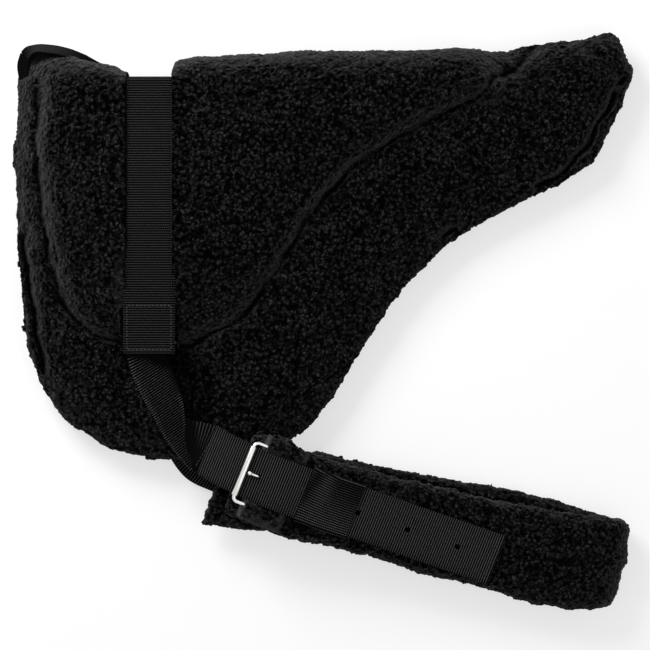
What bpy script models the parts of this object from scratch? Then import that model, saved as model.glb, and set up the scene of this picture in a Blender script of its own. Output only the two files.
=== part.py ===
# Bareback pad: a fleece pad folded in half along its spine, lying on its side, with its girth buckled on.
# +X runs to the tail, +Y to the spine, +Z up from the surface that the folded pad lies on.
import math

import bmesh
import bpy
from mathutils import Matrix, Vector

# Driving dimensions, in metres
pad_length = 0.606
pad_drop = 0.370
seat_thickness = 0.027
near_skirt_thickness = 0.017
off_skirt_thickness = 0.014
edge_thickness = 0.007
channel_thickness = 0.0105
cover_thickness = 0.006
cover_wall = 0.003
lining_thickness = 0.003
fold_cover_thickness = 0.0035
seat_level = 0.027
skirt_level = 0.017
clearance = 0.0003

webbing_width = 0.0508
webbing_thickness = 0.002
webbing_recess = 0.0025
swing_gap = 0.0015
handle_width = 0.025
handle_thickness = 0.0025
handle_foot_width = 0.012

girth_half_length = 0.310
girth_width = 0.088
girth_angle = math.radians(21.8)
bend_lean = math.radians(12)
sleeve_thickness = 0.017

wire_radius = 0.0018
roller_radius = 0.003
roller_gap = 0.0003
buckle_length = 0.040
buckle_side_gap = 0.003
buckle_corner_radius = 0.004
tongue_radius = 0.0012
hole_diameter = 0.0052
chape_length = 0.024
keeper_length = 0.053
keeper_thickness = 0.0015
keeper_start = 0.027
overrun = 0.01

# Outline of one half, from the front of the fold, round the bottom, to the tail: shares of length and drop
edge_shares = (
    (0.011, 0), (0.010, 0.074), (0.001, 0.175), (0.006, 0.307), (0.010, 0.439), (0.013, 0.558),
    (0.022, 0.692), (0.048, 0.808), (0.087, 0.893), (0.156, 0.962), (0.222, 0.990), (0.294, 1.0),
    (0.367, 0.995), (0.432, 0.963), (0.477, 0.907), (0.523, 0.810), (0.568, 0.685), (0.613, 0.574),
    (0.659, 0.484), (0.704, 0.415), (0.772, 0.347), (0.840, 0.294), (0.888, 0.256), (0.936, 0.206),
    (0.976, 0.112), (0.995, 0),
)
# Sewn channel round the seat, point for point with the outline
channel_shares = (
    (0.042, 0), (0.042, 0.069), (0.040, 0.175), (0.047, 0.307), (0.058, 0.439), (0.078, 0.563),
    (0.105, 0.630), (0.128, 0.659), (0.154, 0.672), (0.189, 0.688), (0.230, 0.696), (0.286, 0.688),
    (0.338, 0.646), (0.379, 0.603), (0.405, 0.540), (0.432, 0.471), (0.463, 0.386), (0.497, 0.307),
    (0.537, 0.235), (0.581, 0.180), (0.629, 0.132), (0.680, 0.087), (0.717, 0.061), (0.748, 0.037),
    (0.772, 0.019), (0.793, 0),
)
seat_front_share = 0.075
seat_rear_share = 0.750
# Fold, along the spine: place, how far it stands out past the fold line, how much of the seat's height it has
fold_shares = (
    (0.011, 0.032, 0.30), (0.031, 0.082, 0.58), (0.050, 0.082, 0.80), (0.079, 0.074, 0.98),
    (0.105, 0.063, 0.99), (0.131, 0.053, 0.99), (0.160, 0.042, 0.98), (0.174, 0.029, 0.96),
    (0.178, 0.015, 0.895), (0.266, 0.015, 0.895), (0.270, 0.056, 0.96), (0.296, 0.066, 0.99),
    (0.367, 0.074, 0.99), (0.477, 0.082, 0.99), (0.636, 0.087, 0.99), (0.740, 0.092, 0.95),
    (0.790, 0.085, 0.62), (0.830, 0.100, 0.62), (0.885, 0.111, 0.60), (0.930, 0.119, 0.58),
    (0.952, 0.134, 0.54), (0.970, 0.143, 0.46), (0.986, 0.100, 0.34), (0.995, 0.034, 0.26),
)
surcingle_share = 0.222
surcingle_end_share = 0.712
handle_shares = (
    (0.011, -0.088), (0.017, -0.099), (0.032, -0.107), (0.058, -0.107), (0.088, -0.097),
    (0.113, -0.084),
)
front_foot_shares = ((0.0084, -0.015), (0.0055, -0.055), (0.0102, -0.0855))
rear_foot_shares = ((0.116, -0.080), (0.132, -0.065), (0.150, -0.050))
heel_shares = (0.437, 1.058)

# Girth: stations along it from the heel of the buckle, shares of its half length, with its middle line as a
# share of its width, then its underside and its thickness as shares of the sleeve's thickness
near_girth_shares = (
    (-0.139, -0.064, 2.06, 0.70), (0.030, -0.054, 2.06, 0.94), (0.197, -0.015, 1.94, 1.0),
    (0.361, 0.055, 1.65, 1.0), (0.524, 0.150, 1.38, 1.0), (0.685, 0.235, 1.20, 1.0),
    (0.843, 0.345, 1.12, 1.0), (1.025, 0.500, 1.10, 1.0),
)
off_girth_shares = (
    (-0.192, -0.437, 0.90, 0.70), (-0.049, -0.260, 0.90, 0.80), (0.059, -0.012, 0.88, 0.82),
    (0.190, 0.039, 0.72, 0.88), (0.351, 0.130, 0.52, 0.92), (0.513, 0.255, 0.30, 1.0),
    (0.675, 0.370, 0.17, 1.0), (0.836, 0.465, 0.05, 1.0), (1.025, 0.500, 0, 1.0),
)
off_girth_width_shares = (0.66, 0.78, 1.0, 1.0, 1.0, 1.0, 1.0, 1.0, 1.0)
# Hanging strap: left edge, right edge (shares of half length, of girth width), underside over the skirt's top
hanging_strap_shares = (
    (-0.605, 0.671, -0.502, 0.815, 1.047),
    (-0.578, 0.528, -0.475, 0.673, 0.55),
    (-0.526, 0.279, -0.414, 0.495, 0.10),
    (-0.461, 0.070, -0.362, 0.365, 0.06),
    (-0.391, -0.095, -0.309, 0.320, 0.15),
    (-0.330, -0.188, -0.255, 0.324, 0.40),
    (-0.268, -0.221, -0.231, 0.322, 0.65),
    (-0.208, -0.268, -0.202, 0.303, 0.92),
    (-0.144, -0.283, -0.144, 0.301, 1.19),
)
# Billet: place along the girth, middle line as a share of girth width, lift over the sleeve's top as a share
# of the buckle's stack
billet_shares = (
    (-0.262, 0.050, -0.34), (-0.205, 0.015, 0.12), (-0.142, 0.002, 0.60), (-0.100, -0.008, 1.0),
    (-0.060, -0.012, 1.0), (0.030, -0.010, 1.0), (0.085, -0.004, 0.60), (0.160, 0, 0.30),
    (0.320, 0.035, 0.26), (0.480, 0.055, 0.20), (0.620, 0.080, 0.14), (0.715, 0.095, 0.10),
)
off_strap_shares = (
    (-0.605, 0.671, -0.502, 0.815), (-0.590, 0.528, -0.487, 0.673), (-0.548, 0.260, -0.436, 0.480),
    (-0.491, 0.020, -0.392, 0.315), (-0.421, -0.175, -0.339, 0.200), (-0.350, -0.290, -0.275, 0.160),
    (-0.268, -0.330, -0.231, 0.140), (-0.150, -0.330, -0.150, 0.190), (0.030, -0.270, 0.030, 0.270),
    (0.320, -0.200, 0.320, 0.340), (0.700, -0.100, 0.700, 0.440),
)
hole_shares = (-0.080, 0.086, 0.252, 0.418, 0.584)
lean_start_share = 0.3
off_heel_share = 0.100

# Derived places
fold_y = 0.0
front_x = 0.0
near_skirt_top = skirt_level + near_skirt_thickness
seat_top = seat_level + seat_thickness
along = Vector((math.cos(girth_angle), -math.sin(girth_angle), 0))
across = Vector((math.sin(girth_angle), math.cos(girth_angle), 0))
up = Vector((0, 0, 1))
bend_along = along * math.cos(bend_lean) + across * math.sin(bend_lean)
bend_across = across * math.cos(bend_lean) - along * math.sin(bend_lean)
surcingle_x = front_x + surcingle_share * pad_length
surcingle_end = fold_y - surcingle_end_share * pad_drop
heel_place = Vector((front_x + heel_shares[0] * pad_length, fold_y - heel_shares[1] * pad_drop, 0))
tongue_loop = wire_radius + clearance + tongue_radius
buckle_stack = 2 * (tongue_loop + tongue_radius) + 2 * clearance

materials = {}


def finish_of(name, colour, roughness, metallic=0.0):
    if name not in materials:
        material = bpy.data.materials.new(name)
        material.use_nodes = True
        shader = material.node_tree.nodes["Principled BSDF"]
        shader.inputs["Base Color"].default_value = (*colour, 1)
        shader.inputs["Roughness"].default_value = roughness
        shader.inputs["Metallic"].default_value = metallic
        materials[name] = material
    return materials[name]


def fleece():
    return finish_of("black_fleece", (0.010, 0.010, 0.011), 0.95)


def lining():
    return finish_of("lining_cloth", (0.014, 0.014, 0.015), 0.9)


def foam():
    return finish_of("foam", (0.25, 0.25, 0.24), 0.9)


def webbing():
    return finish_of("black_webbing", (0.012, 0.012, 0.013), 0.6)


def steel():
    return finish_of("plated_steel", (0.62, 0.61, 0.59), 0.22, 1.0)


def add_object(name, mesh, material, parent=None):
    mesh.materials.clear()
    mesh.materials.append(material)
    mesh.shade_smooth()
    mesh.set_sharp_from_angle(angle=math.radians(35))
    made = bpy.data.objects.new(name, mesh)
    bpy.context.scene.collection.objects.link(made)
    if parent:
        made.parent = parent
        made.matrix_parent_inverse = parent_inverses[parent.name]
    return made


def mesh_from(name, points, faces):
    mesh = bpy.data.meshes.new(name)
    mesh.from_pydata([tuple(p) for p in points], [], faces)
    work = bmesh.new()
    work.from_mesh(mesh)
    bmesh.ops.remove_doubles(work, verts=work.verts, dist=1e-6)
    bmesh.ops.recalc_face_normals(work, faces=work.faces)
    bmesh.ops.triangulate(work, faces=work.faces)
    work.to_mesh(mesh)
    work.free()
    return mesh


def slab(name, lower, upper, material, parent=None):
    """A closed solid between two grids of points."""
    rows, columns = len(lower), len(lower[0])
    points = [p for row in lower for p in row] + [p for row in upper for p in row]
    half = rows * columns

    def at(i, j, side):
        return side * half + i * columns + j

    faces = []
    for i in range(rows - 1):
        for j in range(columns - 1):
            for side in (0, 1):
                faces.append((at(i, j, side), at(i + 1, j, side), at(i + 1, j + 1, side)))
                faces.append((at(i, j, side), at(i + 1, j + 1, side), at(i, j + 1, side)))
    for i in range(rows - 1):
        for j in (0, columns - 1):
            faces.append((at(i, j, 0), at(i + 1, j, 0), at(i + 1, j, 1), at(i, j, 1)))
    for j in range(columns - 1):
        for i in (0, rows - 1):
            faces.append((at(i, j, 0), at(i, j + 1, 0), at(i, j + 1, 1), at(i, j, 1)))
    return add_object(name, mesh_from(name, points, faces), material, parent)


def sleeve(name, outer, inner, material, parent=None):
    """A closed solid between an outer and an inner tube, each a list of rings with as many points."""
    rings, count = len(outer), len(outer[0])
    points = [p for ring in outer for p in ring] + [p for ring in inner for p in ring]
    half = rings * count

    def at(i, j, side):
        return side * half + i * count + j % count

    faces = []
    for i in range(rings - 1):
        for j in range(count):
            for side in (0, 1):
                faces.append((at(i, j, side), at(i + 1, j, side), at(i + 1, j + 1, side)))
                faces.append((at(i, j, side), at(i + 1, j + 1, side), at(i, j + 1, side)))
    for i in (0, rings - 1):
        for j in range(count):
            faces.append((at(i, j, 0), at(i, j + 1, 0), at(i, j + 1, 1), at(i, j, 1)))
    return add_object(name, mesh_from(name, points, faces), material, parent)


def rod(name, path, radius, normal, material, parent=None, closed=False, sides=10):
    """A round rod along a flat path whose plane has the given normal."""
    path = [Vector(p) for p in path]
    count = len(path)
    points = []
    for i, p in enumerate(path):
        before = path[i - 1] if i > 0 or closed else p
        after = path[(i + 1) % count] if i < count - 1 or closed else p
        into = (p - before).normalized() if before != p else (after - p).normalized()
        out = (after - p).normalized() if after != p else into
        heading = (into + out).normalized()
        outward = heading.cross(normal).normalized()
        stretch = 1 / max(0.5, heading.dot(into))
        for k in range(sides):
            turn = 2 * math.pi * k / sides
            points.append(p + radius * (math.cos(turn) * stretch * outward + math.sin(turn) * normal))
    faces = []
    for i in range(count if closed else count - 1):
        for k in range(sides):
            j, m = (i + 1) % count, (k + 1) % sides
            faces.append((i * sides + k, j * sides + k, j * sides + m, i * sides + m))
    if not closed:
        faces.append(tuple(range(sides)))
        faces.append(tuple((count - 1) * sides + k for k in range(sides)))
    return add_object(name, mesh_from(name, points, faces), material, parent)


def box(name, low, high):
    """A guide box between two corners."""
    points = [
        Vector((x, y, z))
        for x in (low[0], high[0])
        for y in (low[1], high[1])
        for z in (low[2], high[2])
    ]
    faces = [(0, 1, 3, 2), (4, 6, 7, 5), (0, 4, 5, 1), (2, 3, 7, 6), (0, 2, 6, 4), (1, 5, 7, 3)]
    return add_object(name, mesh_from(name, points, faces), lining())


def cut(target, cutter, solver="EXACT"):
    """Take the cutter's shape out of the target; the cutter stays as a guide."""
    cutter.hide_render = True
    cutter.display_type = "WIRE"
    modifier = target.modifiers.new(cutter.name, "BOOLEAN")
    modifier.operation = "DIFFERENCE"
    modifier.solver = solver
    modifier.object = cutter


parent_inverses = {}


def pivot(name, place, parent=None):
    """An empty on a joint's axis."""
    made = bpy.data.objects.new(name, None)
    bpy.context.scene.collection.objects.link(made)
    made.location = place
    if parent:
        made.parent = parent
        made.matrix_parent_inverse = parent_inverses[parent.name]
    parent_inverses[name] = Matrix.Translation(-Vector(place))
    return made


def pad_point(shares, height):
    x = front_x + shares[0] * pad_length
    y = min(fold_y - clearance, fold_y - shares[1] * pad_drop)
    return Vector((x, y, height))


def between(table, place, column):
    """Straight-line reading of a column of a table of shares."""
    if place <= table[0][0]:
        return table[0][column]
    for before, after in zip(table, table[1:]):
        if place <= after[0]:
            part = (place - before[0]) / (after[0] - before[0])
            return before[column] + part * (after[column] - before[column])
    return table[-1][column]


def near_sleeve_top(place):
    return (between(near_girth_shares, place, 2) + between(near_girth_shares, place, 3)) * sleeve_thickness


def off_sleeve_bottom(place):
    return between(off_girth_shares, place, 2) * sleeve_thickness


def girth_point(place, side, height):
    """place and side are shares of the girth's half length and width, measured from the heel of the buckle."""
    return heel_place + along * place * girth_half_length + across * side * girth_width + up * height


def sleeve_point(place, middle, side, height):
    """A point beside the sleeve's middle line; its sections turn with the line towards the bend."""
    turn = bend_lean * min(1, max(0, (place - lean_start_share) / (1 - lean_start_share)))
    sideways = across * math.cos(turn) - along * math.sin(turn)
    return girth_point(place, middle, height) + sideways * side * girth_width


# Rows across one half, from the fold to the edge: how far from fold to channel, or from channel to edge
seat_row_shares = (0, 0.5, 0.86, 1.0)
skirt_row_shares = (0.28, 0.72, 1.0)
level_shares = (1.0, 1.0, 0.92, 0.40, 0, 0, 0)
seat_shoulder_share = 0.9
skirt_shoulder_share = 0.82


def half_rows():
    """For each station, the places of its rows as shares of length and drop."""
    stations = []
    last = len(edge_shares) - 1
    for k, (edge, channel) in enumerate(zip(edge_shares, channel_shares)):
        start = Vector((seat_front_share + (seat_rear_share - seat_front_share) * k / last, 0))
        edge, channel = Vector(edge), Vector(channel)
        rows = [start.lerp(channel, share) for share in seat_row_shares]
        rows += [channel.lerp(edge, share) for share in skirt_row_shares]
        stations.append(rows)
    return stations


def pulled_in(inside, edge, amount):
    """The edge point moved in from the outline by a real length."""
    reach = Vector(((edge[0] - inside[0]) * pad_length, (edge[1] - inside[1]) * pad_drop))
    return edge + (inside - edge) * min(0.9, amount / reach.length)


def pad_half(side_name, side, skirt_thickness, parent):
    """The layers of one half. side is 1 for the upper half and -1 for the half that lies underneath."""
    tops = (
        seat_thickness,
        seat_thickness,
        seat_thickness * seat_shoulder_share,
        channel_thickness,
        skirt_thickness,
        skirt_thickness * skirt_shoulder_share,
        edge_thickness,
    )
    levels = [skirt_level + share * (seat_level - skirt_level) for share in level_shares]
    last = len(tops) - 1

    def grid(columns):
        """columns holds a row number, a height over the inner face and how far it is pulled in."""
        made = []
        for rows in half_rows():
            line = []
            for row, height, inset in columns:
                shares = pulled_in(rows[row - 1], rows[row], inset) if inset else rows[row]
                line.append(pad_point(shares, levels[row] + side * height))
            made.append(line)
        return made

    under_cover = [(row, tops[row] - cover_thickness, 0) for row in range(last)]
    lining_top = lining_thickness + clearance
    cover_under = under_cover + [(last, lining_top + clearance, cover_wall), (last, clearance, cover_wall)]
    cover_over = [(row, tops[row], 0) for row in range(last + 1)] + [(last, clearance, 0)]
    cover = slab(side_name + "_cover", grid(cover_under), grid(cover_over), fleece(), parent)

    lining_inset = cover_wall + clearance
    lining_under = [(row, clearance, 0) for row in range(last)] + [(last, clearance, lining_inset)]
    lining_over = [(row, lining_thickness, 0) for row in range(last)]
    lining_over.append((last, lining_thickness, lining_inset))
    slab(side_name + "_lining", grid(lining_under), grid(lining_over), lining(), parent)

    for name, rows in (("_seat_foam", (0, 1, 2)), ("_skirt_wadding", (4, 5))):
        under = [(row, lining_top, 0) for row in rows]
        over = [(row, tops[row] - cover_thickness - clearance, 0) for row in rows]
        slab(side_name + name, grid(under), grid(over), foam(), parent)

    groove_half = webbing_width / 2 + clearance
    outer = seat_level + side * (seat_thickness + overrun)
    groove = seat_level + side * (seat_thickness - webbing_recess)
    cutter = box(
        side_name + "_surcingle_groove",
        (surcingle_x - groove_half, surcingle_end - overrun, min(outer, groove)),
        (surcingle_x + groove_half, fold_y + overrun, max(outer, groove)),
    )
    cut(cover, cutter, "MANIFOLD")

    outside = seat_level + side * (seat_thickness - webbing_recess + clearance)
    strap = []
    for height in (outside, outside + side * webbing_thickness):
        strap.append([
            [Vector((surcingle_x + edge * webbing_width / 2, y, height)) for edge in (-1, 1)]
            for y in (surcingle_end, fold_y - clearance)
        ])
    slab(side_name + "_surcingle", strap[0], strap[1], webbing(), parent)


def arc(count, start=-90, stop=90):
    return [math.radians(start + (stop - start) * k / count) for k in range(count + 1)]


def fold_level(height_share):
    """The roll sits on the seat's middle plane where it is thick, and on the skirt's where it is thin."""
    rise = min(1, max(0, (height_share - 0.66) / 0.2))
    return skirt_level + rise * (seat_level - skirt_level)


def fold_roll(parent):
    outer, inner = [], []
    for place, depth_share, height_share in fold_shares:
        x = front_x + place * pad_length
        depth = depth_share * pad_drop
        height = height_share * seat_thickness
        level = fold_level(height_share)
        for ring, wall in ((outer, 0), (inner, fold_cover_thickness)):
            ring.append([
                Vector((
                    x,
                    fold_y + (depth - wall) * math.cos(turn),
                    level + (height - wall) * math.sin(turn),
                ))
                for turn in arc(8)
            ])
    slab("fold_cover", inner, outer, fleece(), parent)

    waist = between(fold_shares, surcingle_share, 1) * pad_drop + clearance
    reach = seat_thickness - webbing_recess + clearance
    skins = []
    for wall in (0, webbing_thickness):
        skins.append([
            [
                Vector((
                    surcingle_x + edge * webbing_width / 2,
                    fold_y + (waist + wall) * math.cos(turn),
                    seat_level + (reach + wall) * math.sin(turn),
                ))
                for turn in arc(12)
            ]
            for edge in (-1, 1)
        ])
    slab("surcingle_crown", skins[0], skins[1], webbing(), parent)


def upright_strip(name, table, widths, parent):
    """A strip of webbing stood on edge along a route in the fold's plane."""
    route = [Vector((front_x + x * pad_length, fold_y - y * pad_drop, seat_level)) for x, y in table]
    inner, outer = [], []
    for i, place in enumerate(route):
        heading = (route[min(i + 1, len(route) - 1)] - route[max(i - 1, 0)]).normalized()
        outward = up.cross(heading)
        for skin, shift in ((inner, -0.5), (outer, 0.5)):
            middle = place + outward * handle_thickness * shift
            skin.append([middle + up * widths[i] * edge / 2 for edge in (-1, 1)])
    slab(name, inner, outer, webbing(), parent)


def sleeve_rings(table, widths):
    outline_shares = (
        (-0.5, 0.5), (-0.43, 0.88), (-0.25, 1), (0.25, 1), (0.43, 0.88),
        (0.5, 0.5), (0.43, 0.12), (0.25, 0), (-0.25, 0), (-0.43, 0.12),
    )
    slot_shares = (
        (-1, 0), (-1, 1), (-0.5, 1), (0.5, 1), (1, 1),
        (1, 0), (1, -1), (0.5, -1), (-0.5, -1), (-1, -1),
    )
    slot_half_width = (webbing_width / 2 + clearance) / girth_width
    slot_half_height = webbing_thickness / 2 + clearance
    outer, inner = [], []
    for (place, middle, bottom, thickness), width in zip(table, widths):
        base, tall = bottom * sleeve_thickness, thickness * sleeve_thickness
        outer.append([sleeve_point(place, middle, s * width, base + h * tall) for s, h in outline_shares])
        inner.append([
            sleeve_point(place, middle, s * slot_half_width, base + tall / 2 + h * slot_half_height)
            for s, h in slot_shares
        ])
    return outer, inner


def girth_web(name, table, parent):
    skins = []
    for side in (-1, 1):
        skins.append([
            [
                sleeve_point(
                    place,
                    middle,
                    edge * webbing_width / 2 / girth_width,
                    (bottom + thickness / 2) * sleeve_thickness + side * webbing_thickness / 2,
                )
                for edge in (-1, 1)
            ]
            for place, middle, bottom, thickness in table
        ])
    slab(name, skins[0], skins[1], webbing(), parent)


def girth_bend(parent):
    """The fleece and the webbing where the girth turns back under itself."""
    end = near_girth_shares[-1]
    top_of_near = (end[2] + end[3]) * sleeve_thickness
    middle_height = top_of_near / 2
    core = middle_height - sleeve_thickness
    side_share = end[1]
    outer, inner, web_in, web_out = [], [], [], []
    slot = webbing_thickness / 2 + clearance
    for turn in arc(8):
        out = bend_along * math.cos(turn) + up * math.sin(turn)
        hub = girth_point(end[0], side_share, middle_height) + bend_along * clearance

        def at(share, radius):
            return hub + bend_across * share * girth_width + out * (core + radius)

        half = sleeve_thickness / 2
        wide = (webbing_width / 2 + clearance) / girth_width
        outer.append([
            at(-0.5, half), at(-0.43, sleeve_thickness * 0.88), at(0, sleeve_thickness),
            at(0.43, sleeve_thickness * 0.88), at(0.5, half), at(0.43, sleeve_thickness * 0.12),
            at(0, 0), at(-0.43, sleeve_thickness * 0.12),
        ])
        inner.append([
            at(-wide, half), at(-wide, half + slot), at(0, half + slot), at(wide, half + slot),
            at(wide, half), at(wide, half - slot), at(0, half - slot), at(-wide, half - slot),
        ])
        web_half = webbing_width / 2 / girth_width
        web_in.append([at(edge * web_half, half - webbing_thickness / 2) for edge in (-1, 1)])
        web_out.append([at(edge * web_half, half + webbing_thickness / 2) for edge in (-1, 1)])
    sleeve("girth_bend", outer, inner, fleece(), parent)
    slab("girth_bend_web", web_in, web_out, webbing(), parent)


def ring_loop(middle, radius, first, second, count=12):
    turns = [2 * math.pi * k / count for k in range(count)]
    return [middle + radius * (math.cos(turn) * first + math.sin(turn) * second) for turn in turns]


def buckle_frame(name, heel, bar, parent):
    """A rectangular wire frame from its heel bar to its roller bar."""
    reach = bar - heel
    first = reach.normalized()
    half = webbing_width / 2 + buckle_side_gap + wire_radius
    corners = ((0, -1), (reach.length, -1), (reach.length, 1), (0, 1))
    path = []
    for number, (out, side) in enumerate(corners):
        middle = heel + first * (buckle_corner_radius if out == 0 else reach.length - buckle_corner_radius)
        middle += across * side * (half - buckle_corner_radius)
        start = 180 + 90 * number
        for step in range(4):
            turn = math.radians(start + 30 * step)
            path.append(middle + buckle_corner_radius * (math.cos(turn) * first + math.sin(turn) * across))
    rod(name, path, wire_radius, first.cross(across).normalized(), steel(), parent, closed=True, sides=8)


def roller_on(name, bar, parent):
    outer, inner = [], []
    for side in (-1, 0, 1):
        middle = bar + across * side * webbing_width / 2
        outer.append(ring_loop(middle, roller_radius, along, up))
        inner.append(ring_loop(middle, wire_radius + roller_gap, along, up))
    sleeve(name, outer, inner, steel(), parent)


def chape_loop(name, heel, side, face_height, parent):
    """The webbing folded round the heel bar and sewn to the girth; side is 1 over the girth, -1 under it."""
    reach = wire_radius + clearance
    base = face_height + side * clearance - heel.z
    ends = []
    inner, outer = [(chape_length, base + side * webbing_thickness)], [(chape_length, base)]
    for turn in arc(6, -90, -270):
        inner.append((reach * math.cos(turn), side * reach * math.sin(turn)))
        outer.append((
            (reach + webbing_thickness) * math.cos(turn),
            side * (reach + webbing_thickness) * math.sin(turn),
        ))
    join = chape_length * 0.6
    double = base + side * (webbing_thickness + clearance)
    inner += [(join, double), (chape_length, double)]
    outer += [(join, double + side * webbing_thickness), (chape_length, double + side * webbing_thickness)]
    for path in (inner, outer):
        ends.append([
            [heel + along * a + up * h + across * edge * webbing_width / 2 for edge in (-1, 1)]
            for a, h in path
        ])
    made = slab(name, ends[0], ends[1], webbing(), parent)
    slot_half = tongue_radius + 2 * clearance
    depth = reach + webbing_thickness + 4 * clearance
    cutter = slab(
        name + "_tongue_slot",
        *[
            [[heel + along * a + across * s + up * h for s in (-slot_half, slot_half)]
             for a in (-depth, depth)]
            for h in (-depth, depth)
        ],
        lining(),
    )
    cut(made, cutter)


def billet_height(place):
    rest = near_sleeve_top(max(place, near_girth_shares[1][0]))
    return rest + between(billet_shares, place, 2) * buckle_stack


def keeper_band(name, stations, low, high, parent):
    """A flat band round the strap; low and high give the clear space inside it at each station."""
    half = webbing_width / 2 + 3 * clearance
    outer, inner = [], []
    for place, middle in stations:
        for ring, wall in ((outer, keeper_thickness), (inner, 0)):
            side = (half + wall) / girth_width
            ring.append([
                girth_point(place, middle - side, low(place) - wall),
                girth_point(place, middle - side, high(place) + wall),
                girth_point(place, middle + side, high(place) + wall),
                girth_point(place, middle + side, low(place) - wall),
            ])
    sleeve(name, outer, inner, webbing(), parent)


def hole_guide(name, place, side, height):
    low = girth_point(place, side, height - overrun / 2)
    high = girth_point(place, side, height + overrun / 2)
    loops = [ring_loop(middle, hole_diameter / 2, along, across) for middle in (low, high)]
    sides = len(loops[0])
    faces = [(k, (k + 1) % sides, sides + (k + 1) % sides, sides + k) for k in range(sides)]
    faces += [tuple(range(sides)), tuple(range(sides, 2 * sides))]
    return add_object(name, mesh_from(name, loops[0] + loops[1], faces), lining())


for old in list(bpy.data.objects):
    bpy.data.objects.remove(old)

# Joint axes
fold_axis = Vector((front_x + surcingle_share * pad_length, fold_y, seat_level))
spine_pivot = pivot("spine_pivot", fold_axis)
near_pivot = pivot("near_fold_pivot", fold_axis, spine_pivot)
strap_level = seat_top - webbing_recess + clearance + webbing_thickness / 2
strap_axis = Vector((surcingle_x, surcingle_end - swing_gap, strap_level))
near_strap_pivot = pivot("near_strap_pivot", strap_axis, near_pivot)
off_strap_axis = Vector((surcingle_x, surcingle_end - swing_gap, 2 * seat_level - strap_level))
off_strap_pivot = pivot("off_strap_pivot", off_strap_axis)
handle_axis = Vector((
    front_x + (handle_shares[0][0] + handle_shares[-1][0]) / 2 * pad_length,
    fold_y - (handle_shares[0][1] + handle_shares[-1][1]) / 2 * pad_drop,
    seat_level,
))
handle_pivot = pivot("grab_strap_pivot", handle_axis, spine_pivot)
girth_end = near_girth_shares[-1]
fold_height = (girth_end[2] + girth_end[3]) * sleeve_thickness / 2
girth_fold_spot = girth_point(girth_end[0], girth_end[1], fold_height)
girth_pivot = pivot("girth_fold_pivot", girth_fold_spot, near_strap_pivot)

# The two halves and the fold between them
pad_half("near", 1, near_skirt_thickness, near_pivot)
pad_half("off", -1, off_skirt_thickness, None)
fold_roll(spine_pivot)
arch_widths = [handle_foot_width] + [handle_width] * (len(handle_shares) - 2) + [handle_foot_width]
upright_strip("grab_strap", handle_shares, arch_widths, handle_pivot)
upright_strip("grab_strap_front_tab", front_foot_shares, [handle_foot_width] * 3, spine_pivot)
upright_strip("grab_strap_rear_tab", rear_foot_shares, [handle_foot_width] * 3, spine_pivot)

# Near strap and billet
skins = []
for wall in (0, webbing_thickness):
    skins.append([
        [
            girth_point(left, left_side, near_skirt_top + lift * sleeve_thickness + wall),
            girth_point(right, right_side, near_skirt_top + lift * sleeve_thickness + wall),
        ]
        for left, left_side, right, right_side, lift in hanging_strap_shares
    ])
slab("near_hanging_strap", skins[0], skins[1], webbing(), near_strap_pivot)

skins = []
half_strap = webbing_width / 2 / girth_width
for wall in (0, webbing_thickness):
    skins.append([
        [girth_point(place, middle + edge * half_strap, billet_height(place) + wall) for edge in (-1, 1)]
        for place, middle, lift in billet_shares
    ])
near_billet = slab("near_billet", skins[0], skins[1], webbing(), near_strap_pivot)
for number, place in enumerate(hole_shares):
    guide = hole_guide(
        "near_hole_%d" % number,
        place,
        between(billet_shares, place, 1),
        billet_height(place) + webbing_thickness / 2,
    )
    cut(near_billet, guide)

# Girth
near_widths = [1] * len(near_girth_shares)
sleeve("near_girth_sleeve", *sleeve_rings(near_girth_shares, near_widths), fleece(), near_strap_pivot)
girth_web("near_girth_web", near_girth_shares, near_strap_pivot)
sleeve("off_girth_sleeve", *sleeve_rings(off_girth_shares, off_girth_width_shares), fleece(), girth_pivot)
girth_web("off_girth_web", off_girth_shares, girth_pivot)
girth_bend(near_strap_pivot)

# Buckles
heel_reach = tongue_loop + tongue_radius + clearance
buckle_place = -buckle_length / girth_half_length
near_middle = between(billet_shares, 0, 1)
heel_rest = near_sleeve_top(near_girth_shares[1][0])
near_heel = girth_point(0, near_middle, heel_rest + heel_reach)
roller_shoulder = buckle_place + roller_radius / girth_half_length
near_bar = girth_point(
    buckle_place, near_middle, billet_height(roller_shoulder) + webbing_thickness + clearance + roller_radius
)
buckle_frame("near_buckle_frame", near_heel, near_bar, near_strap_pivot)
near_roller_pivot = pivot("near_roller_pivot", near_bar, near_strap_pivot)
roller_on("near_buckle_roller", near_bar, near_roller_pivot)
chape_place = chape_length / girth_half_length
chape_loop("near_chape", near_heel, 1, near_sleeve_top(chape_place), near_strap_pivot)

hole_reach = hole_shares[0] * girth_half_length
over_billet = billet_height(hole_shares[0]) + webbing_thickness + 2 * tongue_radius - near_heel.z
over_roller = near_bar.z - near_heel.z + roller_radius + clearance + tongue_radius
tongue_path = [(tongue_loop * math.cos(turn), tongue_loop * math.sin(turn)) for turn in arc(10, -170, 90)]
tongue_path += [
    (hole_reach + tongue_radius, tongue_loop),
    (hole_reach, tongue_loop + tongue_radius),
    (hole_reach, over_billet),
    (-buckle_length + 2 * tongue_radius, over_roller),
    (-buckle_length - 2 * tongue_radius, over_roller),
]
rod(
    "near_buckle_tongue", [near_heel + along * a + up * h for a, h in tongue_path],
    tongue_radius, across, steel(), near_strap_pivot, sides=8,
)

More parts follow.
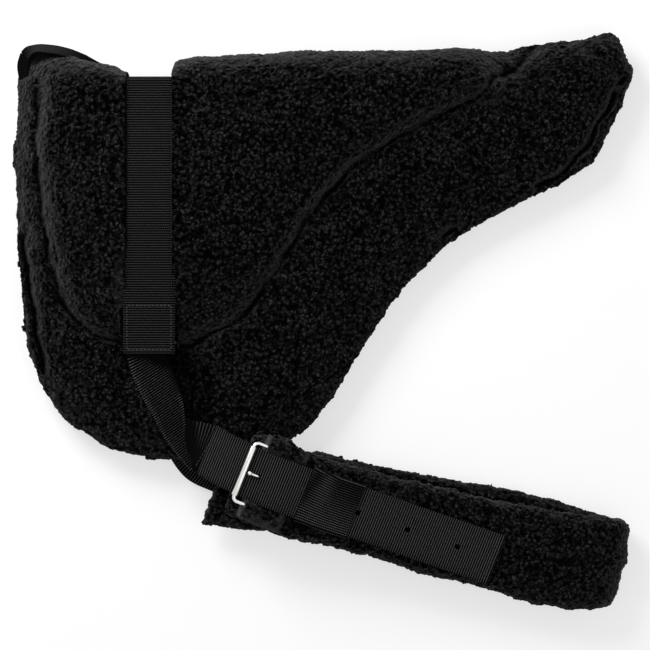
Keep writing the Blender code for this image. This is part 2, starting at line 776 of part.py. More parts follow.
off_middle = between(off_girth_shares, off_heel_share, 1)
off_rest = off_sleeve_bottom(off_heel_share + heel_reach / girth_half_length)
off_heel = girth_point(off_heel_share, off_middle, off_rest - heel_reach)
off_bar = girth_point(off_heel_share + buckle_place, off_middle, off_heel.z)
buckle_frame("off_buckle_frame", off_heel, off_bar, girth_pivot)
off_roller_pivot = pivot("off_roller_pivot", off_bar, girth_pivot)
roller_on("off_buckle_roller", off_bar, off_roller_pivot)
chape_loop("off_chape", off_heel, -1, off_sleeve_bottom(off_heel_share + chape_place), girth_pivot)
under_roller = -(roller_radius + clearance + tongue_radius)
off_path = [(tongue_loop * math.cos(turn), -tongue_loop * math.sin(turn)) for turn in arc(10, -170, 90)]
off_path.append((-buckle_length + 2 * tongue_radius, under_roller))
off_path.append((-buckle_length - 2 * tongue_radius, under_roller))
rod(
    "off_buckle_tongue", [off_heel + along * a + up * h for a, h in off_path],
    tongue_radius, across, steel(), girth_pivot, sides=8,
)

# Keepers
keeper_first = keeper_start / girth_half_length
keeper_last = (keeper_start + keeper_length) / girth_half_length
joints_inside = [billet_shares[7][0], near_girth_shares[2][0]]
near_keeper = [(p, between(billet_shares, p, 1)) for p in [keeper_first] + joints_inside + [keeper_last]]
keeper_band(
    "near_keeper",
    near_keeper,
    lambda place: near_sleeve_top(place) + clearance + keeper_thickness,
    lambda place: billet_height(place) + webbing_thickness + clearance,
    near_strap_pivot,
)
off_keeper_places = [off_heel_share + keeper_first, off_girth_shares[3][0], off_heel_share + keeper_last]
off_keeper = [(p, between(off_girth_shares, p, 1)) for p in off_keeper_places]
keeper_band(
    "off_keeper",
    off_keeper,
    lambda place: off_sleeve_bottom(place) - clearance - keeper_thickness - webbing_thickness - 2 * clearance,
    lambda place: off_sleeve_bottom(place) - clearance - keeper_thickness,
    girth_pivot,
)

# Off strap, which lies flat under the pad and the girth
skins = []
off_floor = 2 * seat_level - (seat_top - webbing_recess + clearance) - webbing_thickness
for wall in (0, webbing_thickness):
    skins.append([
        [girth_point(left, left_side, off_floor + wall), girth_point(right, right_side, off_floor + wall)]
        for left, left_side, right, right_side in off_strap_shares
    ])
off_strap = slab("off_billet", skins[0], skins[1], webbing(), off_strap_pivot)
for number, place in enumerate(hole_shares):
    side = (between(off_strap_shares, place, 1) + between(off_strap_shares, place, 3)) / 2
    cut(off_strap, hole_guide("off_hole_%d" % number, place, side, off_floor + webbing_thickness / 2))

# Origin at the middle of the underside
bpy.context.view_layer.update()
solids = [o for o in bpy.data.objects if o.type == "MESH" and not o.hide_render]
corners = [o.matrix_world @ vertex.co for o in solids for vertex in o.data.vertices]
low = Vector([min(c[k] for c in corners) for k in range(3)])
high = Vector([max(c[k] for c in corners) for k in range(3)])
shift = Vector((-(low.x + high.x) / 2, -(low.y + high.y) / 2, -low.z))
for item in bpy.data.objects:
    if item.parent is None:
        item.location = item.location + shift
bpy.context.view_layer.update()
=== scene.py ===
import math

import bmesh
import bpy
import numpy as np
from mathutils import Matrix, Vector
from mathutils.bvhtree import BVHTree


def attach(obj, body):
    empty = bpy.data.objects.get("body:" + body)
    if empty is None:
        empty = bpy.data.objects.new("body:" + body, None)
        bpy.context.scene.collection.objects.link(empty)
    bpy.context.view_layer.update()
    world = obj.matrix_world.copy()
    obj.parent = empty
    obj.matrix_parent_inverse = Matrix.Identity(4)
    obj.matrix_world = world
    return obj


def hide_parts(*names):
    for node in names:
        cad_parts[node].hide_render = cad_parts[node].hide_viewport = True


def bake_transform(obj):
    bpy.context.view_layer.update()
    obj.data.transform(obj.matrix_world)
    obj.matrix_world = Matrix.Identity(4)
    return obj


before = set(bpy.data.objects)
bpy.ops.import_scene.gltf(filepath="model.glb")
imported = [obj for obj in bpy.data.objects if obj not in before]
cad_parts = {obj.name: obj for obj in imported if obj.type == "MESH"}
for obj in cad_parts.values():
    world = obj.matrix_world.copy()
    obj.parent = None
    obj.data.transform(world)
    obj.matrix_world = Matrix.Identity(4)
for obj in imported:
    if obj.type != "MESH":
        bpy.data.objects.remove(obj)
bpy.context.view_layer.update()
scene = bpy.context.scene
up = Vector((0, 0, 1))
hair = 0.0003                                   # the gap that touching pieces keep

# The pad lies as in the CAD: spine along y = foldY, tail at +X, straps running from the surcingle to the girth
pad = {"length": 0.606, "drop": 0.370, "frontX": -0.30179, "foldY": 0.23035, "seatLevel": 0.027, "skirtLevel": 0.017,
       "seatTop": 0.054}
girth = {"heelShares": (0.437, 1.058), "angle": math.radians(21.8), "halfLength": 0.310, "width": 0.088,
         "sleeve": 0.017, "foldHeight": 0.01785, "bendShares": (1.025, 0.500), "lean": math.radians(12)}
along = Vector((math.cos(girth["angle"]), -math.sin(girth["angle"]), 0))
across = Vector((math.sin(girth["angle"]), math.cos(girth["angle"]), 0))
heel = Vector((pad["frontX"] + girth["heelShares"][0] * pad["length"],
               pad["foldY"] - girth["heelShares"][1] * pad["drop"], 0))


def padPoint(share, height=0):
    return Vector((pad["frontX"] + share[0] * pad["length"], pad["foldY"] - share[1] * pad["drop"], height))


def girthPoint(place, side, height=0):
    return heel + along * place * girth["halfLength"] + across * side * girth["width"] + up * height


def onlySelect(*objects):
    for o in bpy.context.selected_objects:
        o.select_set(False)
    for o in objects:
        o.select_set(True)
    bpy.context.view_layer.objects.active = objects[0]


def linked(name, data):
    made = bpy.data.objects.new(name, data)
    scene.collection.objects.link(made)
    return made


def modify(o, kind, **settings):
    made = o.modifiers.new(kind.lower(), kind)
    for key, value in settings.items():
        setattr(made, key, value)
    return made


def applyAll(o):
    onlySelect(o)
    for m in list(o.modifiers):
        bpy.ops.object.modifier_apply(modifier=m.name)
    return o


# A merged copy of a CAD node's mesh as a new piece
def copyOfNode(node):
    made = linked(node + "Copy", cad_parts[node].data.copy())
    work = bmesh.new()
    work.from_mesh(made.data)
    bmesh.ops.remove_doubles(work, verts=work.verts, dist=2e-5)
    work.to_mesh(made.data)
    work.free()
    made.data.materials.clear()
    return made


def activeAs(name):
    made = bpy.context.view_layer.objects.active
    made.name = made.data.name = name
    return made


def joined(name, parts):
    onlySelect(*parts)
    if len(parts) > 1:
        bpy.ops.object.join()
    return activeAs(name)


def dressed(o, *materials):
    o.data.materials.clear()
    for m in materials:
        o.data.materials.append(m)
    return o


def smoothed(o, degrees):
    onlySelect(o)
    bpy.ops.object.shade_smooth_by_angle(angle=math.radians(degrees))
    return o


# Camera first, straight above, as in the photograph
view = {"centre": (0.00415, -0.00555), "width": 0.637, "distance": 3.2, "level": 0.035}
cameraData = bpy.data.cameras.new("camera")
camera = linked("camera", cameraData)
cameraData.sensor_width = 36
cameraData.lens = cameraData.sensor_width * view["distance"] / view["width"]
cameraData.clip_end = 20
camera.location = (*view["centre"], view["level"] + view["distance"])
scene.camera = camera
scene.view_settings.view_transform = "Standard"


# Materials. In parts, lower-case keys are a node's settings and the others its inputs; another node's output is linked
def setParts(tree, node, parts):
    for key, value in parts.items():
        if isinstance(key, str) and key[0].islower():
            setattr(node, key, value)
        elif isinstance(value, bpy.types.NodeSocket):
            tree.links.new(value, node.inputs[key])
        else:
            node.inputs[key].default_value = value


def addNode(tree, kind, parts):
    made = tree.nodes.new("ShaderNode" + kind)
    setParts(tree, made, parts)
    return made.outputs


def noise(tree, vector, scale, detail=2.0, roughness=0.5):
    return addNode(tree, "TexNoise", {"Vector": vector, "Scale": scale, "Detail": detail, "Roughness": roughness})


def combined(tree, operation, *values, kind="Math"):
    return addNode(tree, kind, {"operation": operation, **dict(enumerate(values))})[0]


def newMaterial(name, colour, roughness, metallic=0.0):
    made = bpy.data.materials.new(name)
    made.use_nodes = True
    shader = made.node_tree.nodes["Principled BSDF"]
    setParts(made.node_tree, shader, {"Base Color": (*colour, 1), "Roughness": roughness, "Metallic": metallic})
    return made, made.node_tree, shader


# Three colours from dark to pale, each at its place in places
def ramped(tree, value, places, colours):
    made = tree.nodes.new("ShaderNodeValToRGB")
    stops = made.color_ramp.elements
    for stop, k in ((stops[0], 0), (stops[1], 2)):
        stop.position = places[k]
        stop.color = (*colours[k], 1)
    stops.new(places[1]).color = (*colours[1], 1)
    tree.links.new(value, made.inputs["Fac"])
    return made.outputs["Color"]


# Painted shade: goes to black by how much painted shade the piece is marked with
def withPaintedShade(tree, colour):
    paintedShade = addNode(tree, "Attribute", {"attribute_name": "paintedShade"})["Fac"]
    return addNode(tree, "Mix", {"data_type": "RGBA", "Factor": paintedShade, "A": colour,
                                 "B": (0.0001, 0.0001, 0.0001, 1)})["Result"]


# Curly pile: clumps and curls as bump, with painted shade as dark roots between them and painted light as paler tips;
# a painted sheen is added where the surface turns away from the camera; all goes black where painted shade is marked
def fleeceMaterial(name, look):
    made, tree, shader = newMaterial(name, look["middle"], 0.9)
    place = addNode(tree, "TexCoord", {})["Object"]
    warp = noise(tree, place, 170.0, roughness=0.6)["Color"]
    swirl = combined(tree, "MULTIPLY_ADD", warp, (look["swirl"],) * 3, place, kind="VectorMath")
    curls = addNode(tree, "TexVoronoi", {"feature": "SMOOTH_F1", "Vector": swirl, "Scale": 1 / look["curl"],
                                         "Randomness": 1.0, "Smoothness": 0.4})["Distance"]
    hairs = noise(tree, swirl, 1 / look["hair"], 3.0, 0.65)["Fac"]
    depth = combined(tree, "MULTIPLY_ADD", curls, -look["curlShare"], hairs)
    patches = noise(tree, place, 1 / look["patch"])["Fac"]
    uneven = combined(tree, "MULTIPLY_ADD", patches, look["patchy"], depth)
    pile = ramped(tree, uneven, look["range"], (look["rootShade"], look["middle"], look["tips"]))
    tilt = addNode(tree, "LayerWeight", {"Blend": 0.5})["Facing"]
    steep = addNode(tree, "MapRange", {"From Min": 0.03, "From Max": 0.80, "Value": tilt})["Result"]
    withPaintedSheen = addNode(tree, "Mix", {"data_type": "RGBA", "blend_type": "ADD", "Factor": steep, "A": pile,
                                    "B": (*look["rimSheen"], 1)})["Result"]
    bump = addNode(tree, "Bump", {"Strength": 1.0, "Distance": look["bump"], "Height": depth})["Normal"]
    setParts(tree, shader, {"Base Color": withPaintedShade(tree, withPaintedSheen), "Normal": bump, "Sheen Weight": look["sheen"],
                            "Sheen Roughness": 0.25, "Specular IOR Level": 0.01})
    return made


# Ribbed webbing on the piece's own UV, in metres: painted shade between the ribs and painted highlights on their
# crests, yarns twisted along each rib, and black where the piece is marked with painted shade
def webbingMaterial(name, look):
    made, tree, shader = newMaterial(name, look["rib"], 0.5)
    uv = addNode(tree, "TexCoord", {})["UV"]
    lengthwise = addNode(tree, "SeparateXYZ", {"Vector": uv})["Y"]
    ribs = combined(tree, "COSINE", combined(tree, "MULTIPLY", lengthwise, 2 * math.pi / look["pitch"]))
    yarns = addNode(tree, "TexWave", {"bands_direction": "DIAGONAL", "Vector": uv, "Distortion": 2.0, "Detail": 1.0,
                                      "Scale": 2 * math.pi / 20 / look["yarn"]})["Fac"]
    fuzz = noise(tree, uv, 900.0, 3.0)["Fac"]
    body = combined(tree, "MULTIPLY_ADD", yarns, look["yarnShare"], ribs)
    total = combined(tree, "MULTIPLY_ADD", fuzz, look["fuzzShare"], body)
    spread = addNode(tree, "MapRange", {"From Min": -0.8, "From Max": 1.75, "Value": total})["Result"]
    cloth = ramped(tree, spread, look["range"], (look["groove"], look["rib"], look["crestHighlight"]))
    bump = addNode(tree, "Bump", {"Strength": 0.8, "Distance": 0.0004, "Height": total})["Normal"]
    setParts(tree, shader, {"Base Color": withPaintedShade(tree, cloth), "Normal": bump, "Sheen Weight": 0.01,
                            "Specular IOR Level": 0.02})
    return made


# A plain material with fine noise as bump; wear, if given, is how far the noise moves the roughness
def grainyMaterial(name, colour, roughness, scale, detail, bump, metallic=0.0, wear=None):
    made, tree, shader = newMaterial(name, colour, roughness, metallic)
    grain = noise(tree, addNode(tree, "TexCoord", {})["Object"], scale, detail)["Fac"]
    if wear:
        span = addNode(tree, "MapRange", {"Value": grain, "To Min": wear[0], "To Max": wear[1]})["Result"]
        setParts(tree, shader, {"Roughness": span})
    rough = addNode(tree, "Bump", {"Strength": bump, "Distance": 0.0002, "Height": grain})["Normal"]
    setParts(tree, shader, {"Normal": rough})
    return made


# In the fleece looks the roots are painted shade between the curls, the tips painted light and the rims a painted sheen
fleeceLook = {"rootShade": (0.0003, 0.0003, 0.0004), "middle": (0.0125, 0.0125, 0.0129), "tips": (0.060, 0.060, 0.061),
              "range": (0.14, 0.38, 0.66), "curl": 0.0040, "hair": 0.0014, "patch": 0.022, "patchy": 0.16,
              "curlShare": 0.75, "swirl": 0.006, "bump": 0.0018, "sheen": 0.06, "rimSheen": (0.062, 0.062, 0.063)}
# A darker fleece for the sewn channel and the pile's edge at the surcingle: painted shade, with less sheen for pile
# pressed flat
shadedFleeceLook = dict(fleeceLook, middle=(0.0050, 0.0050, 0.0052), tips=(0.018, 0.018, 0.019), sheen=0.02,
                rimSheen=(0.004, 0.004, 0.004))
liningLook = dict(fleeceLook, curl=0.0024, hair=0.0010, bump=0.0006, sheen=0.04)
# In the webbing looks the grooves are painted shade and the crests painted highlights
webbingLook = {"groove": (0.0001, 0.0001, 0.0002), "rib": (0.012, 0.012, 0.0124), "crestHighlight": (0.14, 0.14, 0.142),
               "range": (0.58, 0.76, 1.0), "pitch": 0.00236, "yarn": 0.0009, "yarnShare": 0.35, "fuzzShare": 0.4}
# Painted shade: a darker copy of the webbing for the surcingle
shadedSurcingleLook = dict(webbingLook, rib=(0.0024, 0.0024, 0.0026), crestHighlight=(0.084, 0.084, 0.085))
# Painted light: a paler copy of the webbing for the outer part of the near strap
litStrapLook = dict(webbingLook, rib=(0.032, 0.032, 0.0325), crestHighlight=(0.48, 0.48, 0.482))
grabLook = dict(webbingLook, rib=(0.0006, 0.0006, 0.0008), crestHighlight=(0.0022, 0.0022, 0.0024))
fleece = fleeceMaterial("blackFleece", fleeceLook)
liningCloth = fleeceMaterial("blackLining", liningLook)
webbing = webbingMaterial("blackWebbing", webbingLook)
shadedSurcingleWebbing = webbingMaterial("shadedSurcingleWebbing", shadedSurcingleLook)
litStrapWebbing = webbingMaterial("litStrapWebbing", litStrapLook)
grabWebbing = webbingMaterial("grabWebbing", grabLook)
shadedFleece = fleeceMaterial("shadedFleece", shadedFleeceLook)
steel = grainyMaterial("platedSteel", (0.66, 0.65, 0.63), 0.2, 600.0, 5.0, 0.08, metallic=1.0, wear=(0.12, 0.32))
thread = grainyMaterial("blackThread", (0.016, 0.016, 0.017), 0.5, 1500.0, 2.0, 0.4)
print("materials made")

# Fleece bodies. A half and the fold are made as one soft body and then parted, so the pile runs on over the join.
# Lumps, clumps and curls are a size and a height
pile = {"voxel": 0.005, "pressure": 4.0, "swell": 0.005, "lumps": (0.036, 0.0034), "clumps": (0.0105, 0.0019),
        "curls": (0.0044, 0.0012), "underStrap": 0.0006, "reach": 0.010, "seek": 0.016, "margin": 0.002, "rim": 0.0035}
# Sewn lines are pressed in by a depth over a width, and painted with shade, drawn dark, over a width by a share. What
# varies along them is a share and its periods. Banks of pile stand beside the surcingle: how far they reach, lean in
# and rise, and where they start above its end. Free says over what distance from the channel, the fold and the
# surcingle the cloth comes loose
quilt = {"channel": {"depth": 0.0046, "width": 0.0036, "dark": 0.85, "darkWidth": 0.0034, "wander": 0.0013,
                     "uneven": (0.35, (0.0086, 0.0237)), "pucker": (0.25, (0.0021, 0.0067)), "darker": (0.2, 0.011)},
         "crease": {"depth": 0.0050, "width": 0.0034, "dark": 0.85, "darkWidth": 0.0030, "wander": 0.0010},
         "free": {"channel": (0.003, 0.020), "fold": (-0.004, 0.020), "strap": (0.026, 0.040), "rim": (-0.2, 0.3)},
         "slope": 0.046, "slopeSteps": 140, "slopeShare": 1.4, "finePast": -0.35, "wander": (0.0061, 0.013, 0.0072),
         "swell": 0.0018, "swellAt": 0.014, "swellWidth": 0.008,
         "bank": {"reach": 0.007, "lean": 0.0042, "rise": 0.0032, "start": (0.040, 0.056)},
         # Painted shade: the pile's edge at the surcingle is drawn dark, and the place under the hanging strap gets a
         # painted shadow; past the last share, faces get the darker fleece
         "clearOfStrap": 0.0275, "strapEdge": 0.0254, "edgeDark": 0.9, "edgeWidth": 0.0022,
         "edgeStart": (-0.002, 0.004),
         "underStrapDark": 0.72, "underStrapReach": (0.003, 0.026), "shadedFleeceFrom": 0.74}
channelShares = (
    (0.042, 0), (0.042, 0.069), (0.040, 0.175), (0.047, 0.307), (0.058, 0.439), (0.078, 0.563), (0.105, 0.630),
    (0.128, 0.659), (0.154, 0.672), (0.189, 0.688), (0.230, 0.696), (0.286, 0.688), (0.338, 0.646), (0.379, 0.603),
    (0.405, 0.540), (0.432, 0.471), (0.463, 0.386), (0.497, 0.307), (0.537, 0.235), (0.581, 0.180), (0.629, 0.132),
    (0.680, 0.087), (0.717, 0.061), (0.744, 0.034), (0.768, 0.006), (0.793, -0.021), (0.820, -0.056),
    (0.838, -0.076), (0.850, -0.10),
)
# Where the off layer shows past the near one, a crease runs beside the edge
creaseShares = (
    ((0.018, 0.405), (0.024, 0.492), (0.031, 0.571), (0.039, 0.664), (0.052, 0.762)),
    ((0.983, -0.016), (0.972, 0.041), (0.956, 0.093), (0.937, 0.152), (0.909, 0.200), (0.879, 0.243), (0.848, 0.270)),
    ((0.717, 0.378), (0.693, 0.403)),
)
underStrapShares = ((0.205, 0.706), (0.262, 0.722), (0.285, 0.800), (0.292, 0.870), (0.282, 0.935))
# Small shifts of the outline: place, radius and shift
padNudges = (((0.2856, 0.1873), 0.018, (-0.004, 0.003, 0)), ((0.3022, 0.2460), 0.012, (0.004, 0, 0)))
# The roll of the fold: place along the pad, depth past the fold line, and height as a share of the seat's
foldShares = (
    (0.011, 0.032, 0.30), (0.031, 0.082, 0.58), (0.050, 0.082, 0.80), (0.079, 0.074, 0.98), (0.105, 0.063, 0.99),
    (0.131, 0.053, 0.99), (0.160, 0.042, 0.98), (0.174, 0.029, 0.96), (0.178, 0.015, 0.895), (0.266, 0.015, 0.895),
    (0.270, 0.056, 0.96), (0.296, 0.066, 0.99), (0.367, 0.074, 0.99), (0.477, 0.082, 0.99), (0.636, 0.087, 0.99),
    (0.740, 0.092, 0.95), (0.790, 0.085, 0.62), (0.830, 0.100, 0.62), (0.885, 0.111, 0.60), (0.930, 0.119, 0.58),
    (0.952, 0.134, 0.54), (0.970, 0.143, 0.46), (0.986, 0.100, 0.34), (0.995, 0.034, 0.26),
)
foldRoll = {"columns": 40, "rows": 120, "outerShare": 0.75, "bulgeBack": 0.003, "blunt": 0.3, "risesAt": 0.66,
            "risesOver": 0.2, "seam": 0.4999}


def texture(name, kind, size, **settings):
    made = bpy.data.textures.new(name, kind)
    made.noise_scale = size
    for key, value in settings.items():
        setattr(made, key, value)
    return made


lumpTexture = texture("lumps", "CLOUDS", pile["lumps"][0], noise_depth=1)
clumpTexture = texture("clumps", "VORONOI", pile["clumps"][0], distance_metric="DISTANCE")
curlTexture = texture("curls", "DISTORTED_NOISE", pile["curls"][0], distortion=1.6)


def piled(o):
    for look, height, middle in ((lumpTexture, pile["lumps"][1], 0.5), (clumpTexture, -pile["clumps"][1], 0.45),
                                 (curlTexture, pile["curls"][1], 0.5)):
        modify(o, "DISPLACE", texture=look, texture_coords="LOCAL", strength=height, mid_level=middle)
    return applyAll(o)


def gathered(items, key, columns=3):
    found = np.empty(len(items) * columns)
    items.foreach_get(key, found)
    return found.reshape(-1, columns)


def coordinates(o):
    return gathered(o.data.vertices, "co")


def normalsOf(o):
    return gathered(o.data.vertex_normals, "vector")


def setCoordinates(o, spots):
    o.data.vertices.foreach_set("co", np.ascontiguousarray(spots, dtype=np.float64).ravel())
    o.data.update()


def nudged(spots, nudges):
    for centre, radius, shift in nudges:
        away = np.linalg.norm(spots[:, :2] - centre, axis=1)
        spots += np.exp(-(away / radius) ** 2)[:, None] * shift
    return spots


# How much painted shade each point gets, 0 to 1, which the materials draw dark
def markPaintedShade(o, values):
    layer = o.data.attributes.new("paintedShade", "FLOAT", "POINT")
    layer.data.foreach_set("value", np.asarray(values, dtype=np.float32))


def editing(o, mode="VERT"):
    onlySelect(o)
    bpy.ops.object.mode_set(mode="EDIT")
    bpy.ops.mesh.select_mode(type=mode)
    bpy.ops.mesh.select_all(action="SELECT")


def doneEditing():
    bpy.ops.object.mode_set(mode="OBJECT")


# A grid laid over a shape: shape gives points from arrays of the share across and the share along
def gridPiece(name, columns, rows, shape):
    bpy.ops.mesh.primitive_grid_add(x_subdivisions=columns, y_subdivisions=rows, size=1)
    o = activeAs(name)
    flat = coordinates(o)
    setCoordinates(o, shape(flat[:, 0] + 0.5, flat[:, 1] + 0.5))
    return o


def cleaned(o, merge=0, fill=False):
    editing(o)
    if merge:
        bpy.ops.mesh.remove_doubles(threshold=merge)
        bpy.ops.mesh.select_all(action="SELECT")
    if fill:
        bpy.ops.mesh.fill_holes(sides=0)
        bpy.ops.mesh.select_all(action="SELECT")
    bpy.ops.mesh.normals_make_consistent(inside=False)
    doneEditing()
    return o


# The solid roll along the spine, from just inside the halves to its outer curve
def foldSolid():
    table = np.array(foldShares)
    outerShare = foldRoll["outerShare"]

    def shape(around, lengthwise):
        place = table[0, 0] + (table[-1, 0] - table[0, 0]) * lengthwise
        depth = np.interp(place, table[:, 0], table[:, 1]) * pad["drop"]
        share = np.interp(place, table[:, 0], table[:, 2])
        height = share * (pad["seatTop"] - pad["seatLevel"])
        rise = np.clip((share - foldRoll["risesAt"]) / foldRoll["risesOver"], 0, 1)
        level = pad["skirtLevel"] + rise * (pad["seatLevel"] - pad["skirtLevel"])
        turn = np.radians(-90 + 180 * np.minimum(around / outerShare, 1))
        back = np.clip((around - outerShare) / (1 - outerShare), 0, 1)
        outer = around <= outerShare
        closing = np.abs(around - 0.5) > foldRoll["seam"]
        y = np.where(outer, depth * np.cos(turn), -foldRoll["bulgeBack"] * np.sin(np.pi * back) ** foldRoll["blunt"])
        z = np.where(outer, height * np.sin(turn), height * (1 - 2 * back))
        y = np.where(closing, 0, y)
        z = np.where(closing, -height, z)
        return np.stack([pad["frontX"] + place * pad["length"], pad["foldY"] + y, level + z], 1)

    return cleaned(gridPiece("foldSolid", foldRoll["columns"], foldRoll["rows"], shape), merge=1e-5, fill=True)


# One closed skin round all that the object holds
def softened(o, voxel):
    modify(o, "REMESH", mode="VOXEL", voxel_size=voxel, use_smooth_shade=True)
    modify(o, "SMOOTH", factor=0.5, iterations=2)
    return applyAll(o)


cloth = {"quality": 5, "mass": 0.3, "tension_stiffness": 12, "compression_stiffness": 12, "bending_stiffness": 0.4,
         "use_pressure": True, "uniform_pressure_force": pile["pressure"], "vertex_group_mass": "held"}
clothFrames = 20


# Cloth blown up a little inside its cap; loose says how free each point is, 0 to 1
def puffed(o, loose):
    before = coordinates(o)
    group = o.vertex_groups.new(name="held")
    for i, share in enumerate(loose):
        group.add([i], 1 - float(share), "REPLACE")
    m = modify(o, "CLOTH")
    for key, value in cloth.items():
        setattr(m.settings, key, value)
    m.settings.effector_weights.gravity = 0
    m.collision_settings.use_collision = False
    m.point_cache.frame_start = 1
    m.point_cache.frame_end = clothFrames
    for step in range(1, clothFrames + 1):
        scene.frame_set(step)
    applyAll(o)
    scene.frame_set(1)
    move = coordinates(o) - before
    size = np.linalg.norm(move, axis=1)
    cap = pile["swell"] * np.asarray(loose)
    setCoordinates(o, before + move * np.minimum(1, cap / np.maximum(size, 1e-9))[:, None])
    o.vertex_groups.clear()
    return o


# Plan distance from each point to a polyline, and how far along the line the nearest place is
def distanceTo(points, route):
    best = np.full(len(points), 1e9)
    where = np.zeros(len(points))
    travelled = 0
    for a, b in zip(route[:-1], route[1:]):
        a, b = np.array(a[:2]), np.array(b[:2])
        run = b - a
        t = np.clip(((points[:, :2] - a) @ run) / (run @ run), 0, 1)
        d = np.linalg.norm(points[:, :2] - (a + t[:, None] * run), axis=1)
        nearer = d < best
        best = np.where(nearer, d, best)
        where = np.where(nearer, travelled + t * np.linalg.norm(run), where)
        travelled += np.linalg.norm(run)
    return best, where


def toPadLine(spots, shares):
    return distanceTo(spots, [padPoint(s) for s in shares])


def eased(value, low, high):
    t = np.clip((value - low) / (high - low), 0, 1)
    return t * t * (3 - 2 * t)


def bell(value, width):
    return np.exp(-(value / width) ** 2)


def treeOf(nodes):
    work = bmesh.new()
    for n in nodes:
        work.from_mesh(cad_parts[n].data)
    tree = BVHTree.FromBMesh(work)
    work.free()
    return tree


# Sinks the pile under the webbing and metal that lie on it, along each point's own outward direction
def pressed(o, nodes, outward):
    tree = treeOf(nodes)
    spots = coordinates(o)
    margin, reach, sink = pile["margin"], pile["reach"], pile["underStrap"]
    low = np.min([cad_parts[n].bound_box[0] for n in nodes], axis=0) - margin
    high = np.max([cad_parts[n].bound_box[6] for n in nodes], axis=0) + margin
    for i in np.nonzero(np.all((spots[:, :2] > low[:2]) & (spots[:, :2] < high[:2]), axis=1))[0]:
        way = Vector(outward[i])
        start = Vector(spots[i]) - way * reach
        hit, face, index, distance = tree.ray_cast(start, way, pile["seek"])
        if hit is not None and face.dot(way) < 0 and distance < reach + sink:
            spots[i] = hit - way * sink
    setCoordinates(o, spots)


# Subdivides all faces once, then again those that face past the given share of straight out
def finer(o, side, past):
    modify(o, "SUBSURF", levels=1, render_levels=1)
    applyAll(o)
    editing(o, "FACE")
    bpy.ops.mesh.select_all(action="DESELECT")
    doneEditing()
    o.data.polygons.foreach_set("select", side * gathered(o.data.polygons, "normal")[:, 2] > past)
    bpy.ops.object.mode_set(mode="EDIT")
    bpy.ops.mesh.subdivide(number_cuts=1, smoothness=0)
    doneEditing()
    return o


# Cuts off what lies past the plane, and gives it as a closed piece of its own
def parted(o, name, spot, normal):
    other = linked(name, o.data.copy())
    for piece, inner in ((o, False), (other, True)):
        editing(piece)
        bpy.ops.mesh.bisect(plane_co=spot, plane_no=normal, use_fill=True, clear_inner=inner, clear_outer=not inner)
        bpy.ops.mesh.mark_sharp()
        doneEditing()
    return other


channelRoute = [padPoint(s) for s in channelShares]


def ripple(run, share, periods):
    return share * np.sin(run / periods[0]) * np.sin(run / periods[1] + 1)


